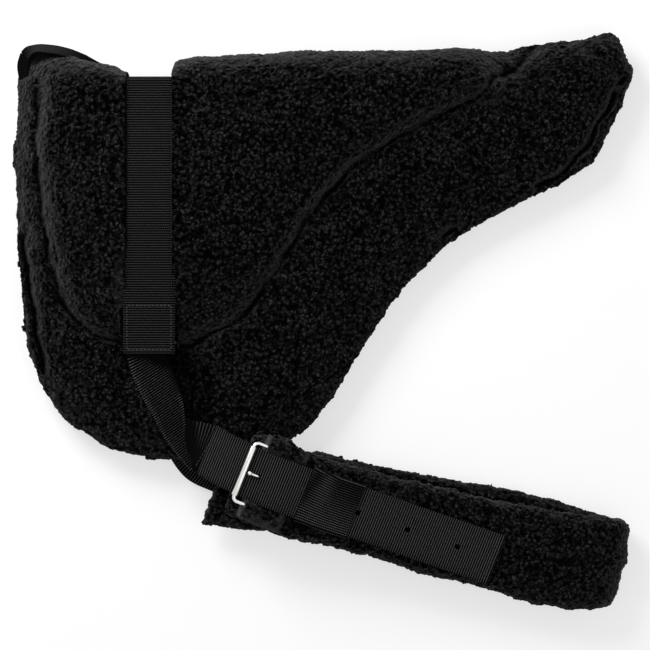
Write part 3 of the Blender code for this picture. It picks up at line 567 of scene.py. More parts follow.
# One half with the fold; side is 1 for the near half, on top, and -1 for the off half
def halfBody(side, outerStraps):
    name = "near" if side > 0 else "off"
    copies = [copyOfNode(name + n) for n in ("_cover", "_lining", "_seat_foam", "_skirt_wadding")]
    o = softened(joined(name + "Body", copies + [foldSolid()]), pile["voxel"])
    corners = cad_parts[name + "_surcingle"].bound_box
    middle, strapEnd = (corners[0][0] + corners[6][0]) / 2, corners[0][1]
    channel, crease, bank, free = quilt["channel"], quilt["crease"], quilt["bank"], quilt["free"]

    # free away from the sewn lines, the fold and the surcingle, with long slopes down to the channel
    spots, facing = coordinates(o), side * normalsOf(o)[:, 2]
    toChannel = distanceTo(spots, channelRoute)[0]
    loose = eased(toChannel, *free["channel"]) * eased(pad["foldY"] - spots[:, 1], *free["fold"])
    loose *= eased(facing, *free["rim"])
    loose *= eased(np.abs(spots[:, 0] - middle), *free["strap"])
    soften = o.vertex_groups.new(name="besideChannel")
    for i, d in enumerate(toChannel):
        if d < quilt["slope"] and facing[i] > 0.2:
            soften.add([i], min(1, quilt["slopeShare"] * (1 - d / quilt["slope"])), "REPLACE")
    modify(o, "SMOOTH", vertex_group="besideChannel", iterations=quilt["slopeSteps"])
    applyAll(o)
    o.vertex_groups.clear()
    puffed(o, loose)
    finer(o, side, quilt["finePast"])

    # the sewn channel and the creases wander a little and pucker along their run
    spots, outward = coordinates(o), normalsOf(o)
    facing = side * outward[:, 2]
    first, second, third = quilt["wander"]
    wander = np.stack((np.sin(spots[:, 1] / first + spots[:, 0] / second), np.sin(spots[:, 0] / third),
                       np.zeros(len(spots))), axis=1)
    toChannel, run = distanceTo(spots + channel["wander"] * wander, channelRoute)
    toChannel /= 1 + ripple(run, *channel["uneven"])
    toCrease = np.full(len(spots), 1.0)
    for shares in creaseShares if side > 0 else ():
        toCrease = np.minimum(toCrease, toPadLine(spots + crease["wander"] * wander, shares)[0])
    pucker = 1 - channel["pucker"][0] + ripple(run, *channel["pucker"])
    dip = channel["depth"] * bell(toChannel, channel["width"]) * pucker
    dip += crease["depth"] * bell(toCrease, crease["width"]) * (facing > 0)
    dip -= quilt["swell"] * bell(toChannel - quilt["swellAt"], quilt["swellWidth"])
    dip *= eased(facing, 0.0, 0.5) * (np.abs(spots[:, 0] - middle) > quilt["clearOfStrap"])
    spots[:, :2] += outward[:, :2] * pile["rim"]
    spots[:, 2] -= side * dip
    setCoordinates(o, nudged(spots, padNudges))
    piled(o)
    pressed(o, outerStraps, outward)

    # banks of pile beside the surcingle
    spots = coordinates(o)
    beside = np.abs(spots[:, 0] - middle) - quilt["strapEdge"]
    piledUp = bell(np.maximum(beside, 0), bank["reach"]) * (beside > 0) * (facing > -0.2)
    piledUp *= eased(spots[:, 1], strapEnd + bank["start"][0], strapEnd + bank["start"][1])
    spots[:, 0] -= np.sign(spots[:, 0] - middle) * bank["lean"] * piledUp
    spots[:, 2] += side * bank["rise"] * piledUp
    setCoordinates(o, spots)

    # painted shade, drawn dark: the sewn lines, the pile's edge at the surcingle, and the place under the hanging strap
    # as a painted shadow that stays on the pad when the strap moves
    upward = (facing > 0.1) & (np.abs(spots[:, 0] - middle) > quilt["clearOfStrap"])
    share, period = channel["darker"]
    waves = 1 - share + share * np.sin(run / period)
    paintedShades = [channel["dark"] * bell(toChannel, channel["darkWidth"]) * waves * upward,
               crease["dark"] * bell(toCrease, crease["darkWidth"]) * (facing > 0),
               quilt["edgeDark"] * bell(beside, quilt["edgeWidth"]) * (facing > -0.2)
               * eased(spots[:, 1], strapEnd + quilt["edgeStart"][0], strapEnd + quilt["edgeStart"][1])]
    if side > 0:
        toStrap = toPadLine(spots, underStrapShares)[0]
        paintedShades.append(quilt["underStrapDark"] * (1 - eased(toStrap, *quilt["underStrapReach"])) * (facing > -0.2))
    paintedShade = np.max(paintedShades, axis=0)
    markPaintedShade(o, paintedShade)
    # the lining faces get the lining, and the darker fleece goes where the painted shade is strongest
    dressed(o, fleece, shadedFleece, liningCloth)
    for face in o.data.polygons:
        if facing[face.vertices[0]] < -0.5:
            face.material_index = 2
        elif paintedShade[face.vertices[0]] > quilt["shadedFleeceFrom"]:
            face.material_index = 1
    print(o.name, len(o.data.polygons), "faces")
    return o


def setSoft(pairs):
    for o, nodes in pairs:
        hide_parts(*nodes)


nearBody = halfBody(1, ["near_surcingle", "surcingle_crown", "near_hanging_strap", "grab_strap_front_tab",
                        "grab_strap_rear_tab"])
foldUpper = parted(nearBody, "foldFleeceUpper", (0, pad["foldY"], 0), (0, 1, 0))
foldLower = parted(foldUpper, "foldFleeceLower", (0, 0, pad["seatLevel"]), (0, 0, -1))
offBody = halfBody(-1, ["off_surcingle", "surcingle_crown"])
bpy.data.objects.remove(parted(offBody, "spare", (0, pad["foldY"], 0), (0, 1, 0)))
nearBody.name, offBody.name = "nearFleece", "offFleece"
setSoft(((nearBody, ("near_cover", "near_lining", "near_seat_foam", "near_skirt_wadding")),
         (offBody, ("off_cover", "off_lining", "off_seat_foam", "off_skirt_wadding")),
         (foldUpper, ("fold_cover",)), (foldLower, ("fold_cover",))))
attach(nearBody, "near_half")
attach(offBody, "off_half")
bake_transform(foldLower)
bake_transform(foldUpper)
print("pad halves and fold made")

# Girth: fleece sleeves round webbing, and the bend between its two layers. Each row: place and side of the middle, then
# the underside and the thickness as shares of the sleeve's
nearGirthShares = (
    (-0.139, -0.064, 2.06, 0.70), (0.030, -0.054, 2.06, 0.94), (0.197, -0.015, 1.94, 1.0), (0.361, 0.055, 1.65, 1.0),
    (0.524, 0.150, 1.38, 1.0), (0.685, 0.235, 1.20, 1.0), (0.843, 0.345, 1.12, 1.0), (1.025, 0.500, 1.10, 1.0),
)
offGirthShares = (
    (-0.192, -0.437, 0.90, 0.70), (-0.049, -0.260, 0.90, 0.80), (0.059, -0.012, 0.88, 0.82), (0.190, 0.039, 0.72, 0.88),
    (0.351, 0.130, 0.52, 0.92), (0.513, 0.255, 0.30, 1.0), (0.675, 0.370, 0.17, 1.0), (0.836, 0.465, 0.05, 1.0),
    (1.025, 0.500, 0, 1.0),
)
girthPile = {"voxel": 0.004, "free": {"middle": (0.026, 0.036), "back": (0.0, 0.4), "bend": (0.19, 0.22),
                                      "end": (-0.09, -0.06)},
             "backHeld": (0.3, 0.8), "backShare": 0.7, "finePast": -0.6, "rim": 0.6 * pile["rim"]}
# The pile that stands over the near buckle's sides: over the bars, outside the billet, first free and then as a cover
buckleBank = {"free": (0.0050, 0.0244), "cover": (0.0030, 0.0222), "outer": 0.046, "start": (0.010, 0.016),
              "end": (0.002, 0.014), "crown": 0.0006, "slope": (0.014, 0.010), "rough": 0.0012,
               "periods": (0.0031, 0.0023, 0.0071)}
girthNudges = (
    ((0.0120, -0.2277), 0.024, (0, 0.0055, 0)), ((0.0551, -0.2375), 0.024, (0, 0.0055, 0)),
    ((0.2071, -0.2747), 0.024, (0, -0.007, 0)), ((0.2493, -0.2806), 0.024, (0, -0.007, 0)),
    ((0.2954, -0.2042), 0.018, (0.0065, 0, 0)), ((0.2973, -0.2356), 0.018, (0.0065, 0, 0)),
    ((0.2914, -0.2669), 0.018, (0.0050, 0.001, 0)), ((-0.0350, -0.1120), 0.014, (0.003, 0.008, 0.003)),
)


def reading(table, place, column):
    return float(np.interp(place, [row[0] for row in table], [row[column] for row in table]))


def nearSleeveTop(place):
    return (reading(nearGirthShares, place, 2) + reading(nearGirthShares, place, 3)) * girth["sleeve"]


def offSleeveBottom(place):
    return reading(offGirthShares, place, 2) * girth["sleeve"]


# Where points lie along the girth, and how far to either side of the heel
def girthPlaces(spots):
    return spots[:, :2] @ np.array(along[:2]), np.abs((spots[:, :2] - np.array(heel[:2])) @ np.array(across[:2]))


# Lets the pile stand up over the sides of the buckle, outside the billet
def banked(o, over, inner):
    frameCopy = copyOfNode("near_buckle_frame")
    bars = coordinates(frameCopy)
    bpy.data.objects.remove(frameCopy)
    barRun, barAside = girthPlaces(bars)
    low, high = barRun.min(), barRun.max()
    ends = [bars[np.abs(barRun - end) < 0.003, 2].mean() for end in (low, high)]
    spots, outward = coordinates(o), normalsOf(o)
    run, aside = girthPlaces(spots)
    wide, deep = buckleBank["slope"]
    level = np.interp(run, (low, high), ends) + over
    level -= ((aside - barAside.max() + buckleBank["crown"]) / wide) ** 2 * deep
    first, second, third = buckleBank["periods"]
    level += buckleBank["rough"] * np.sin(run / first) * np.sin(aside / second + run / third)
    grow = eased(run, low + buckleBank["start"][0], low + buckleBank["start"][1])
    grow *= eased(-run, -high - buckleBank["end"][1], -high - buckleBank["end"][0])
    grow *= (aside > inner) * (aside < buckleBank["outer"]) * (outward[:, 2] > -0.2)
    spots[:, 2] += np.maximum(0, level - spots[:, 2]) * grow
    setCoordinates(o, spots)


# A layer of the girth with the bend; side is 1 for the near layer and -1 for the off one
def girthBody(side, shares, straps):
    name = "near" if side > 0 else "off"
    nodes = (name + "_girth_sleeve", name + "_girth_web", "girth_bend", "girth_bend_web")
    o = softened(joined(name + "GirthBody", [copyOfNode(n) for n in nodes]), girthPile["voxel"])
    spots, back = coordinates(o), -side * normalsOf(o)[:, 2]
    toMiddle = distanceTo(spots, [girthPoint(*row[:2]) for row in shares])[0]
    free = girthPile["free"]
    loose = np.maximum(eased(toMiddle, *free["middle"]), eased(back, *free["back"]))
    loose = np.maximum(loose, eased(spots[:, 0], *free["bend"])) * eased(spots[:, 0], *free["end"])
    loose *= 1 - girthPile["backShare"] * eased(back, *girthPile["backHeld"])
    puffed(o, loose)
    finer(o, side, girthPile["finePast"])
    spots, outward = coordinates(o), normalsOf(o)
    spots[:, :2] += outward[:, :2] * girthPile["rim"]
    setCoordinates(o, nudged(spots, girthNudges))
    if side > 0:
        banked(o, *buckleBank["free"])
    piled(o)
    pressed(o, straps, outward)
    if side > 0:
        banked(o, *buckleBank["cover"])
    print(o.name, len(o.data.polygons), "faces")
    return dressed(o, fleece)


bendAlong = along * math.cos(girth["lean"]) + across * math.sin(girth["lean"])
bendPlane = girthPoint(*girth["bendShares"]) + bendAlong * hair
nearGirth = girthBody(1, nearGirthShares, ["near_billet", "near_chape", "near_keeper", "near_hanging_strap"])
offGirth = girthBody(-1, offGirthShares, ["off_billet", "off_chape", "off_keeper", "off_buckle_frame",
                                          "off_buckle_tongue"])
bendUpper = parted(nearGirth, "bendFleeceUpper", bendPlane, bendAlong)
bendLower = parted(offGirth, "bendFleeceLower", bendPlane, bendAlong)
bpy.data.objects.remove(parted(bendUpper, "spare", (0, 0, girth["foldHeight"]), (0, 0, -1)))
bpy.data.objects.remove(parted(bendLower, "spare", (0, 0, girth["foldHeight"]), (0, 0, 1)))
nearGirth.name, offGirth.name = "nearGirthFleece", "offGirthFleece"
setSoft(((nearGirth, ("near_girth_sleeve", "near_girth_web")), (offGirth, ("off_girth_sleeve", "off_girth_web")),
         (bendUpper, ("girth_bend", "girth_bend_web")), (bendLower, ("girth_bend", "girth_bend_web"))))
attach(nearGirth, "near_girth")
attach(offGirth, "off_girth")
for o in (bendUpper, bendLower):
    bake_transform(o)
print("girth made")

# Webbing: flat straps with ribs across them, laid along their routes
web = {"width": 0.0508, "thickness": 0.002, "ribPitch": 0.00236, "ribHeight": 0.00022, "rowsPerRib": 4, "columns": 12,
       "selvedge": 0.0004, "smooth": 50, "ribFade": (0.0005, 0.003), "waves": (41, 5, 7)}


# Evenly spaced pairs of edge points on a smooth line through the stations, and the line's length
def smoothRoute(stations, count):
    table = np.array([[*left, *right] for left, right in stations], dtype=float)
    middles = (table[:, :3] + table[:, 3:]) / 2
    knots = np.concatenate([[0], np.cumsum(np.linalg.norm(np.diff(middles, axis=0), axis=1))])
    slopes = np.gradient(table, knots, axis=0) if len(table) > 2 else np.diff(table, axis=0) / knots[1]
    if len(table) == 2:
        slopes = np.repeat(slopes, 2, axis=0)
    spots = np.linspace(0, knots[-1], count)
    i = np.clip(np.searchsorted(knots, spots, side="right") - 1, 0, len(knots) - 2)
    h = (knots[i + 1] - knots[i])[:, None]
    t = (spots - knots[i])[:, None] / h
    return ((2 * t ** 3 - 3 * t ** 2 + 1) * table[i] + (t ** 3 - 2 * t ** 2 + t) * h * slopes[i]
            + (3 * t ** 2 - 2 * t ** 3) * table[i + 1] + (t ** 3 - t ** 2) * h * slopes[i + 1]), knots[-1]


# Turns the grid's own UV, 0 to 1, into metres across and along
def measuredUV(o, size, turned=False):
    layer = o.data.uv_layers.active.data
    uv = gathered(layer, "uv", 2)
    layer.foreach_set("uv", ((uv[:, ::-1] if turned else uv) * size).ravel())


# Ribbed webbing through pairs of edge points on its inner face; facing 1 thickens it towards its upper side
def strap(name, stations, material=webbing, width=web["width"], thickness=web["thickness"], ribPitch=web["ribPitch"],
          facing=1, wave=0.0):
    length = smoothRoute(stations, 50)[1]
    rows = max(8, int(length / ribPitch * web["rowsPerRib"]))
    route = smoothRoute(stations, rows + 1)[0]
    left, right = route[:, :3], route[:, 3:]
    heading = np.gradient((left + right) / 2, axis=0)
    outward = np.cross(right - left, heading)
    outward /= np.linalg.norm(outward, axis=1)[:, None]
    first, second, third = web["waves"]

    def shape(acrossShare, alongShare):
        i = np.clip(np.rint(alongShare * rows).astype(int), 0, rows)
        edge = np.minimum(acrossShare, 1 - acrossShare) * width
        ribs = web["ribHeight"] * np.cos(2 * np.pi * alongShare * length / ribPitch) * eased(edge, *web["ribFade"])
        swing = wave * np.sin(alongShare * length * first) * np.sin(acrossShare * second + alongShare * third)
        lift = thickness / 2 + ribs + swing
        return left[i] + (right[i] - left[i]) * acrossShare[:, None] + outward[i] * (facing * lift)[:, None]

    o = gridPiece(name, web["columns"], rows, shape)
    measuredUV(o, (width, length))
    modify(o, "SOLIDIFY", thickness=thickness, offset=0)
    modify(o, "BEVEL", width=web["selvedge"], segments=1, limit_method="ANGLE", angle_limit=math.radians(60))
    return dressed(smoothed(cleaned(applyAll(o)), web["smooth"]), material)


def finish(o, body, slot, *nodes):
    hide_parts(*nodes)
    if body:
        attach(o, body)
    return o


stitch = {"length": 0.0031, "pitch": 0.0040, "radius": 0.00045, "outShare": 0.3, "castFrom": 0.3}


# Sews rows of thread on a strap; each row is a line of points that is laid on it from above or below
def stitched(o, rows, facing=1):
    bpy.ops.mesh.primitive_uv_sphere_add(segments=8, ring_count=5, radius=1)
    seed = bpy.context.active_object
    seed.data.materials.append(thread)
    bpy.ops.object.shade_smooth()
    size = Matrix.Diagonal((stitch["length"] / 2, stitch["radius"], stitch["radius"], 1))
    made = [o]
    for row in rows:
        line = [Vector((p[0], p[1], 0)) for p in row]
        for start, end in zip(line, line[1:]):
            count = max(1, round((end - start).length / stitch["pitch"]))
            way = (end - start).normalized()
            for i in range(count):
                spot = start.lerp(end, (i + 0.5) / count)
                found, hit, normal, face = o.ray_cast(spot + up * facing * stitch["castFrom"], -up * facing)
                if not found:
                    continue
                flat = (way - normal * way.dot(normal)).normalized()
                turn = Matrix((flat, normal.cross(flat), normal)).transposed().to_4x4()
                one = linked("stitch", seed.data.copy())
                place = Matrix.Translation(hit + normal * stitch["radius"] * stitch["outShare"])
                one.data.transform(place @ turn @ size)
                made.append(one)
    bpy.data.objects.remove(seed)
    return joined(o.name, made)


surcingle = {"x": pad["frontX"] + 0.222 * pad["length"], "endY": pad["foldY"] - 0.712 * pad["drop"],
             "under": 0.0518, "waist": 0.00585, "reach": 0.0248, "wave": 0.0003, "seamIn": 0.0215,
             "seamAbove": (0.0035, 0.0465), "crownSteps": 16}


def levelStations(ys, z):
    half, x = web["width"] / 2, surcingle["x"]
    return [(Vector((x - half, y, z)), Vector((x + half, y, z))) for y in ys]


ys = np.linspace(surcingle["endY"], pad["foldY"], 8)
left, right = surcingle["x"] - surcingle["seamIn"], surcingle["x"] + surcingle["seamIn"]
foot, head = (surcingle["endY"] + above for above in surcingle["seamAbove"])
seam = [(left, head), (left, foot), (right, foot), (right, head), (left, head)]
offUnder = 2 * pad["seatLevel"] - surcingle["under"]
# The surcingles and the crown are drawn in the darker webbing, painted shade
for name, side, level, wave in (("near", 1, surcingle["under"], surcingle["wave"]), ("off", -1, offUnder, 0)):
    o = strap(name + "Surcingle", levelStations(ys, level), shadedSurcingleWebbing, facing=side, wave=wave)
    finish(stitched(o, [seam], side), name + "_half", "webbing", name + "_surcingle")
crownRoute = []
for k in range(surcingle["crownSteps"] + 1):
    turn = math.radians(90 - 180 * k / surcingle["crownSteps"])
    y = pad["foldY"] + surcingle["waist"] * math.cos(turn)
    crownRoute += levelStations([y], pad["seatLevel"] + surcingle["reach"] * math.sin(turn))
crownUpper = strap("surcingleCrownUpper", crownRoute, shadedSurcingleWebbing)
crownLower = parted(crownUpper, "surcingleCrownLower", (0, 0, pad["seatLevel"]), (0, 0, -1))
for o in (crownUpper, crownLower):
    finish(o, None, "webbing", "surcingle_crown")
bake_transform(crownLower)
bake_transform(crownUpper)

# Near strap: out from under the surcingle, turned towards the girth with a pleat. Each row: edge points as shares of
# the pad's length and drop, then their heights
outerPart = (
    (0.1845, 0.6852, 0.2654, 0.6852, 0.0493, 0.0493), (0.1845, 0.7090, 0.2578, 0.6879, 0.0460, 0.0460),
    (0.1877, 0.7354, 0.2507, 0.6938, 0.0410, 0.0430), (0.1926, 0.7672, 0.2486, 0.7143, 0.0385, 0.0400),
    (0.2023, 0.8042, 0.2565, 0.7466, 0.0375, 0.0380), (0.2152, 0.8466, 0.2662, 0.7903, 0.0370, 0.0370),
    (0.2314, 0.8942, 0.2757, 0.8454, 0.0370, 0.0362), (0.2476, 0.9418, 0.2794, 0.9054, 0.0380, 0.0364),
    (0.2638, 0.9762, 0.2847, 0.9513, 0.0400, 0.0380), (0.2783, 1.0026, 0.2885, 0.9896, 0.0420, 0.0406),
    (0.2880, 1.0185, 0.2911, 1.0143, 0.0435, 0.0432),
)
innerPart = (
    (0.2832, 1.0132, 0.2751, 0.8783, 0.0405, 0.0352), (0.2864, 1.0159, 0.2896, 0.8889, 0.0415, 0.0358),
    (0.2896, 1.0185, 0.3042, 0.8942, 0.0425, 0.0380), (0.2929, 1.0212, 0.3188, 0.8995, 0.0436, 0.0420),
    (0.2977, 1.0238, 0.3333, 0.9074, 0.0450, 0.0450),
)
# Where the inner part lies on the girth: edge points by place and side, then the height of both
joinPart = ((-0.208, -0.268, -0.202, 0.303, 0.0496), (-0.144, -0.283, -0.144, 0.301, 0.0542))
joinSeam = ((0.3320, 0.9130), (0.2962, 1.0105))
# Painted shade: lines along which the straps are drawn dark as if in shade, and how far it reaches: full up to the
# first, none past the second
strapShade = (((0.175, 0.700), (0.222, 0.706), (0.262, 0.738), (0.278, 0.800)), (0.006, 0.013))
pleatShade = (((0.280, 0.880), (0.287, 1.000)), (0.006, 0.014))


def pairStations(rows):
    return [(padPoint(row[0:2], row[4]), padPoint(row[2:4], row[5])) for row in rows]


# The outer part is drawn in the paler webbing, painted light, and the inner part in the plain webbing
outerStrap = strap("nearStrapOuter", pairStations(outerPart), litStrapWebbing)
joinRows = [(girthPoint(a, b, z), girthPoint(c, d, z)) for a, b, c, d, z in joinPart]
innerStrap = strap("nearStrapInner", pairStations(innerPart) + joinRows)
innerStrap = stitched(innerStrap, [[padPoint(s) for s in joinSeam]])
# paints shade on each strap near its lines
for o, (shares, reach) in ((outerStrap, strapShade), (innerStrap, pleatShade)):
    markPaintedShade(o, 1 - eased(toPadLine(coordinates(o), shares)[0], *reach))
    finish(o, None, "webbing", "near_hanging_strap")
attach(innerStrap, "near_girth")
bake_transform(outerStrap)

# Near billet with its punched holes. Each row: place, side of the middle, and height as a share of the stack, which is
# the strap's rise over the heel bar
billet = {"tongueLoop": 0.0018 + hair + 0.0012, "holes": (-0.080, 0.086, 0.252, 0.418, 0.584), "holeDiameter": 0.0052,
          "seam": 0.700, "seamShare": 0.9, "finePlaces": (0.2, 0.24, 0.4, 0.56, 0.67), "lowest": 0.030}
billet["stack"] = 2 * (billet["tongueLoop"] + 0.0012) + 2 * hair
billetShares = (
    (-0.262, 0.050, -0.34), (-0.205, 0.015, 0.12), (-0.142, 0.002, 0.60), (-0.100, -0.008, 1.0), (-0.060, -0.012, 1.0),
    (0.030, -0.010, 1.0), (0.085, -0.004, 0.60), (0.160, 0, 0.30), (0.320, 0.035, 0.26), (0.480, 0.055, 0.20),
    (0.620, 0.080, 0.14), (0.715, 0.095, 0.10),
)
halfStrap = web["width"] / 2 / girth["width"]


def billetHeight(place):
    return nearSleeveTop(max(place, billet["lowest"])) + reading(billetShares, place, 2) * billet["stack"]


def punched(o, spots):
    punches = []
    for spot in spots:
        bpy.ops.mesh.primitive_cylinder_add(vertices=16, radius=billet["holeDiameter"] / 2, depth=0.014, location=spot)
        punches.append(bpy.context.active_object)
    punch = joined("punch", punches)
    modify(o, "BOOLEAN", object=punch, solver="EXACT")
    applyAll(o)
    bpy.data.objects.remove(punch)
    return o


def billetPoint(place, side, height):
    return girthPoint(place, reading(billetShares, place, 1) + side * halfStrap, height)


places = sorted({row[0] for row in billetShares} | set(billet["finePlaces"]))
stations = [[billetPoint(p, side, billetHeight(p)) for side in (-1, 1)] for p in places]
nearBillet = punched(strap("nearBillet", stations, facing=-1),
                     [billetPoint(p, 0, billetHeight(p)) for p in billet["holes"]])
seamEnds = (-billet["seamShare"], billet["seamShare"])
nearBillet = stitched(nearBillet, [[billetPoint(billet["seam"], side, 0) for side in seamEnds]])
finish(nearBillet, "near_girth", "webbing", "near_billet")
print("webbing made")

# Roller buckles of bent wire
buckle = {"length": 0.040, "wire": 0.0018, "roller": 0.003, "rollerGap": 0.0003, "tongue": 0.0012, "tipShare": 1.9,
          "sideGap": 0.003, "corner": 0.0045, "cornerSteps": 6, "offHeelShare": 0.100, "smooth": 40}
# The near pin rises through the billet's first hole: reach from the hole with rise from the loop, then with rise from
# the billet's top, then its tip from the bar. The off pin runs level to the bar
nearPin = {"below": ((0.004, 0), (0.0006, 0.0016)), "above": ((-0.0006, -0.0008), (-0.004, 0.0007)),
           "tip": (0.0062, 0.0012)}
offPin = {"loop": -0.012, "tips": (0.0024, -0.0022)}
chapeRoute = {"end": 0.024, "middle": 0.014, "throat": 0.006, "pinch": 0.7}
keeper = {"start": 0.0225, "length": 0.053, "wall": 0.0015, "corner": 0.0014, "cornerDrop": 0.35,
          "ribFade": (0.001, 0.003), "tall": 0.006, "columns": 260, "rows": 24}


# A round bent wire along points, as a mesh
def wire(name, points, radius, closed=False):
    data = bpy.data.curves.new(name, "CURVE")
    data.dimensions = "3D"
    spline = data.splines.new("POLY")
    spline.points.add(len(points) - 1)
    for p, spot in zip(spline.points, points):
        p.co = (*spot, 1)
    spline.use_cyclic_u = closed
    data.bevel_depth = radius
    data.bevel_resolution = 3
    data.use_fill_caps = True
    onlySelect(linked(name, data))
    bpy.ops.object.convert(target="MESH")
    return dressed(smoothed(activeAs(name), buckle["smooth"]), steel)


def buckleFrame(name, heelSpot, bar):
    reach = bar - heelSpot
    first = reach.normalized()
    half = web["width"] / 2 + buckle["sideGap"] + buckle["wire"]
    path = []
    for number, (out, side) in enumerate(((0, -1), (1, -1), (1, 1), (0, 1))):
        middle = heelSpot + first * (buckle["corner"] if out == 0 else reach.length - buckle["corner"])
        middle += across * side * (half - buckle["corner"])
        for step in range(buckle["cornerSteps"] + 1):
            turn = math.radians(180 + 90 * number + 90 / buckle["cornerSteps"] * step)
            path.append(middle + buckle["corner"] * (math.cos(turn) * first + math.sin(turn) * across))
    return wire(name, path, buckle["wire"], closed=True)


# A thin tube free on the bar, with rolled ends
def rollerOn(name, bar):
    bpy.ops.mesh.primitive_cylinder_add(vertices=32, radius=buckle["roller"], depth=web["width"],
                                        end_fill_type="NOTHING")
    o = activeAs(name)
    modify(o, "SOLIDIFY", thickness=buckle["roller"] - buckle["wire"] - buckle["rollerGap"], offset=-1)
    modify(o, "BEVEL", width=0.0003, segments=2, limit_method="ANGLE")
    applyAll(o)
    o.rotation_euler = across.to_track_quat("Z", "X").to_euler()
    o.location = bar
    bpy.ops.object.transform_apply(location=True, rotation=True, scale=True)
    return dressed(smoothed(o, buckle["smooth"]), steel)


# A pin looped round the heel bar, with a small ball at its tip; path is the reach and rise of each point
def tongueAlong(name, path, heelSpot):
    spots = [heelSpot + along * a + up * h for a, h in path]
    points = [Vector(p[:3]) for p in smoothRoute([(p, p) for p in spots], 48)[0]]
    pin = wire(name, points, buckle["tongue"])
    bpy.ops.mesh.primitive_uv_sphere_add(segments=16, ring_count=10, radius=buckle["tongue"] * buckle["tipShare"],
                                         location=points[-1])
    ball = bpy.context.active_object
    bpy.ops.object.transform_apply(location=True)
    bpy.ops.object.shade_smooth()
    ball.data.materials.append(steel)
    return joined(name, [pin, ball])


# Webbing folded round the heel bar and sewn down on the girth
def chape(name, heelSpot, side, faceHeight):
    wall = web["thickness"] / 2
    turnRadius = buckle["wire"] + hair + wall
    base = faceHeight + side * (hair + wall) - heelSpot.z
    over = base + side * (web["thickness"] + hair)
    end, middle, throat, pinch = chapeRoute.values()
    path = [(end, base), (middle, base), (throat, base * pinch)]
    path += [(turnRadius * math.cos(math.radians(t)), side * turnRadius * math.sin(math.radians(t)))
             for t in range(-100, -280, -20)]
    path += [(throat, (side * turnRadius + over) / 2), (middle, over), (end, over)]
    half = across * web["width"] / 2
    spots = [heelSpot + along * a + up * h for a, h in path]
    return strap(name, [(spot - half, spot + half) for spot in spots], facing=0)


# A flat loop of webbing round the strap, its ribs running along the strap; middle, low and high are read by place
def keeperBand(name, first, last, middle, low, high):
    wall = keeper["wall"]
    half = web["width"] / 2 + 3 * hair + wall / 2

    def shape(aroundShare, alongShare):
        place = first + (last - first) * alongShare
        mid = np.array([middle(p) for p in place]) * girth["width"]
        bottom = np.array([low(p) for p in place]) - wall / 2
        top = np.array([high(p) for p in place]) + wall / 2
        tall = top - bottom
        s = (aroundShare % 1) * 2 * (2 * half + tall)
        sides = [s < 2 * half, s < 2 * half + tall, s < 4 * half + tall]
        y = np.select(sides, [-half + s, np.full_like(s, half), half - (s - 2 * half - tall)], -half)
        z = np.select(sides, [top, top - (s - 2 * half), bottom], bottom + (s - 4 * half - tall))
        rounding = np.minimum(tall / 2, keeper["corner"])
        corner = np.clip((np.abs(y) - (half - rounding)) / rounding, 0, 1)
        middleZ = (top + bottom) / 2
        z = middleZ + (z - middleZ) * (1 - keeper["cornerDrop"] * corner ** 2)
        ribs = web["ribHeight"] * np.cos(2 * np.pi * s / web["ribPitch"])
        ribs *= eased(half - np.abs(y), *keeper["ribFade"])
        spots = np.array(heel)[None, :] + np.outer(place * girth["halfLength"], along) + np.outer(mid + y, across)
        spots[:, 2] = z + np.sign(z - middleZ) * ribs
        return spots

    o = cleaned(gridPiece(name, keeper["columns"], keeper["rows"], shape), merge=1e-6)
    measuredUV(o, (keeper["length"], 2 * (2 * half + keeper["tall"])), turned=True)
    modify(o, "SOLIDIFY", thickness=wall, offset=0)
    return dressed(smoothed(applyAll(o), web["smooth"]), webbing)


# One buckle and its chape; side is 1 for the near one and -1 for the off one
def buckleOn(name, side, heelSpot, bar, faceHeight, path):
    finish(buckleFrame(name + "BuckleFrame", heelSpot, bar), name + "_girth", "steel", name + "_buckle_frame")
    finish(rollerOn(name + "BuckleRoller", bar), name + "_roller", "steel", name + "_buckle_roller")
    finish(chape(name + "Chape", heelSpot, side, faceHeight), name + "_girth", "webbing", name + "_chape")
    finish(tongueAlong(name + "BuckleTongue", path, heelSpot), name + "_girth", "steel", name + "_buckle_tongue")


chapeEnd = chapeRoute["end"] / girth["halfLength"]
loop = billet["tongueLoop"]
loopPath = [(loop * math.cos(math.radians(t)), loop * math.sin(math.radians(t))) for t in range(-170, 91, 26)]
heelReach = loop + buckle["tongue"] + hair
barPlace = -buckle["length"] / girth["halfLength"]

nearMiddle = reading(billetShares, 0, 1)
nearHeel = girthPoint(0, nearMiddle, nearSleeveTop(billet["lowest"]) + heelReach)
shoulder = billetHeight(barPlace + buckle["roller"] / girth["halfLength"])
nearBar = girthPoint(barPlace, nearMiddle, shoulder + web["thickness"] + hair + buckle["roller"])
hole = billet["holes"][0] * girth["halfLength"]
over = billetHeight(billet["holes"][0]) + web["thickness"] + 2 * buckle["tongue"] - nearHeel.z
path = loopPath + [(hole + a, loop + h) for a, h in nearPin["below"]]
path += [(hole + a, over + h) for a, h in nearPin["above"]]
path.append((nearPin["tip"][0] - buckle["length"], over + nearPin["tip"][1]))
buckleOn("near", 1, nearHeel, nearBar, nearSleeveTop(chapeEnd), path)

offPlace = buckle["offHeelShare"]
offMiddle = reading(offGirthShares, offPlace, 1)
offHeel = girthPoint(offPlace, offMiddle, offSleeveBottom(offPlace + heelReach / girth["halfLength"]) - heelReach)
offBar = girthPoint(offPlace + barPlace, offMiddle, offHeel.z)
under = -(buckle["roller"] + hair + buckle["tongue"])
path = [(a, -h) for a, h in loopPath] + [(offPin["loop"], -loop)]
path += [(a - buckle["length"], under) for a in offPin["tips"]]
buckleOn("off", -1, offHeel, offBar, offSleeveBottom(offPlace + chapeEnd), path)

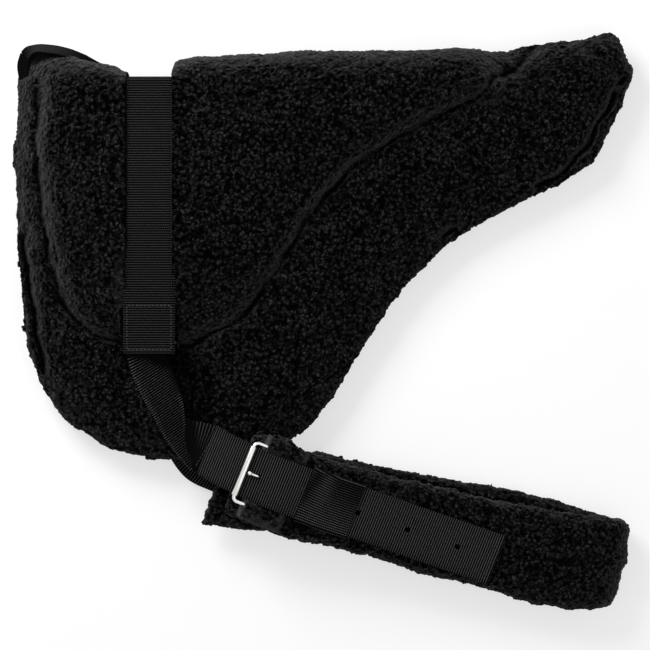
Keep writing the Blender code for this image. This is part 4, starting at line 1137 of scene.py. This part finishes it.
keeperEnds = (keeper["start"] / girth["halfLength"], (keeper["start"] + keeper["length"]) / girth["halfLength"])
finish(keeperBand("nearKeeper", *keeperEnds, lambda p: reading(billetShares, p, 1),
                  lambda p: nearSleeveTop(p) + hair + keeper["wall"],
                  lambda p: billetHeight(p) + web["thickness"] + hair), "near_girth", "webbing", "near_keeper")
print("buckles made")

# Off strap and billet, flat under the pad and the girth, and the off keeper. Each row: both edge points
offShares = (
    (-0.605, 0.671, -0.502, 0.815), (-0.590, 0.528, -0.487, 0.673), (-0.540, 0.290, -0.436, 0.480),
    (-0.475, 0.070, -0.392, 0.315), (-0.397, -0.106, -0.330, 0.210), (-0.353, -0.250, -0.290, 0.150),
    (-0.293, -0.366, -0.245, 0.130), (-0.211, -0.394, -0.190, 0.150), (-0.110, -0.350, -0.110, 0.190),
    (0.030, -0.270, 0.030, 0.270), (0.320, -0.200, 0.320, 0.340), (0.700, -0.100, 0.700, 0.440),
)
offFloor = offUnder - web["thickness"]
stations = [(girthPoint(a, b, offFloor), girthPoint(c, d, offFloor)) for a, b, c, d in offShares]
holeSpots = [girthPoint(p, (reading(offShares, p, 1) + reading(offShares, p, 3)) / 2, offFloor)
             for p in billet["holes"]]
finish(punched(strap("offBillet", stations, facing=-1), holeSpots), "off_strap", "webbing", "off_billet")
finish(keeperBand("offKeeper", *(end + offPlace for end in keeperEnds), lambda p: reading(offGirthShares, p, 1),
                  lambda p: offSleeveBottom(p) - hair - keeper["wall"] - web["thickness"] - 2 * hair,
                  lambda p: offSleeveBottom(p) - hair - keeper["wall"]), "off_girth", "webbing", "off_keeper")

# Grab strap: a handle of webbing along the front of the fold, sewn down at both ends. Each line of shares has its
# widths and its leans in degrees
grab = {"width": 0.025, "thickness": 0.0025, "level": 0.027, "ribPitch": 0.0022}
handle = (((0.011, -0.088), (0.017, -0.099), (0.032, -0.107), (0.058, -0.107), (0.088, -0.097), (0.118, -0.0785)),
          (0.014, 0.021, 0.025, 0.025, 0.019, 0.012), (66, 38, 24, 24, 30, 50))
frontTab = (((0.0084, -0.015), (0.0055, -0.055), (0.0102, -0.0855)), (0.012, 0.013, 0.014), (66, 66, 66))
rearTab = (((0.116, -0.080), (0.132, -0.065), (0.150, -0.050)), (0.012, 0.012, 0.012), (50, 50, 50))


def edgeStations(shares, widths, leans):
    spots = [padPoint(s, grab["level"]) for s in shares]
    found = []
    for i, spot in enumerate(spots):
        heading = (spots[min(i + 1, len(spots) - 1)] - spots[max(i - 1, 0)]).normalized()
        outward = up.cross(heading)
        tilt = math.radians(leans[i])
        edge = up * math.cos(tilt) - outward * math.sin(tilt)
        foot = spot - up * widths[i] / 2
        found.append((foot, foot + edge * widths[i]))
    return found


def grabPiece(name, look, body, node):
    o = strap(name, edgeStations(*look), grabWebbing, grab["width"], grab["thickness"], grab["ribPitch"], facing=0)
    return finish(o, body, "webbing", node)


grabPiece("grabStrap", handle, "grab_handle", "grab_strap")
grabPiece("grabFrontTab", frontTab, "spine", "grab_strap_front_tab")
grabPiece("grabRearTab", rearTab, "spine", "grab_strap_rear_tab")
print("grab strap made")

# White floor, soft lights
stageSet = {"floorSize": 6.0, "floorLevel": -0.004, "floorColour": (0.45, 0.45, 0.45), "glow": 0.60, "world": 0.42,
            "key": ((-1.0, 1.3, 1.1), 0.9, 34), "fill": ((1.0, -0.6, 1.8), 1.4, 5)}
bpy.ops.mesh.primitive_plane_add(size=stageSet["floorSize"], location=(0, 0, stageSet["floorLevel"]))
floor = activeAs("floor")
floorMaterial, tree, shader = newMaterial("paleFloor", stageSet["floorColour"], 0.9)


# dark for plain light, and seen for what the camera, metal and glass see
def seenShare(tree, dark, seen):
    rays = addNode(tree, "LightPath", {})
    direct = combined(tree, "MAXIMUM", rays["Is Camera Ray"], rays["Is Glossy Ray"])
    either = combined(tree, "MAXIMUM", direct, rays["Is Transmission Ray"])
    return addNode(tree, "MapRange", {"Value": either, "To Min": dark, "To Max": seen})["Result"]


setParts(tree, shader, {"Specular IOR Level": 0, "Emission Color": (1, 1, 1, 1),
                        "Emission Strength": seenShare(tree, 0, stageSet["glow"])})
dressed(floor, floorMaterial)
world = bpy.data.worlds.new("studio")
scene.world = world
world.use_nodes = True
setParts(world.node_tree, world.node_tree.nodes["Background"],
         {"Color": (1, 1, 1, 1), "Strength": seenShare(world.node_tree, stageSet["world"], 1)})


def lamp(name, spot, size, power):
    data = bpy.data.lights.new(name, "AREA")
    data.energy = power
    data.size = size
    made = linked(name, data)
    made.location = spot
    made.rotation_euler = (Vector((0, 0, 0)) - Vector(spot)).to_track_quat("-Z", "Y").to_euler()


lamp("key", *stageSet["key"])
lamp("fill", *stageSet["fill"])
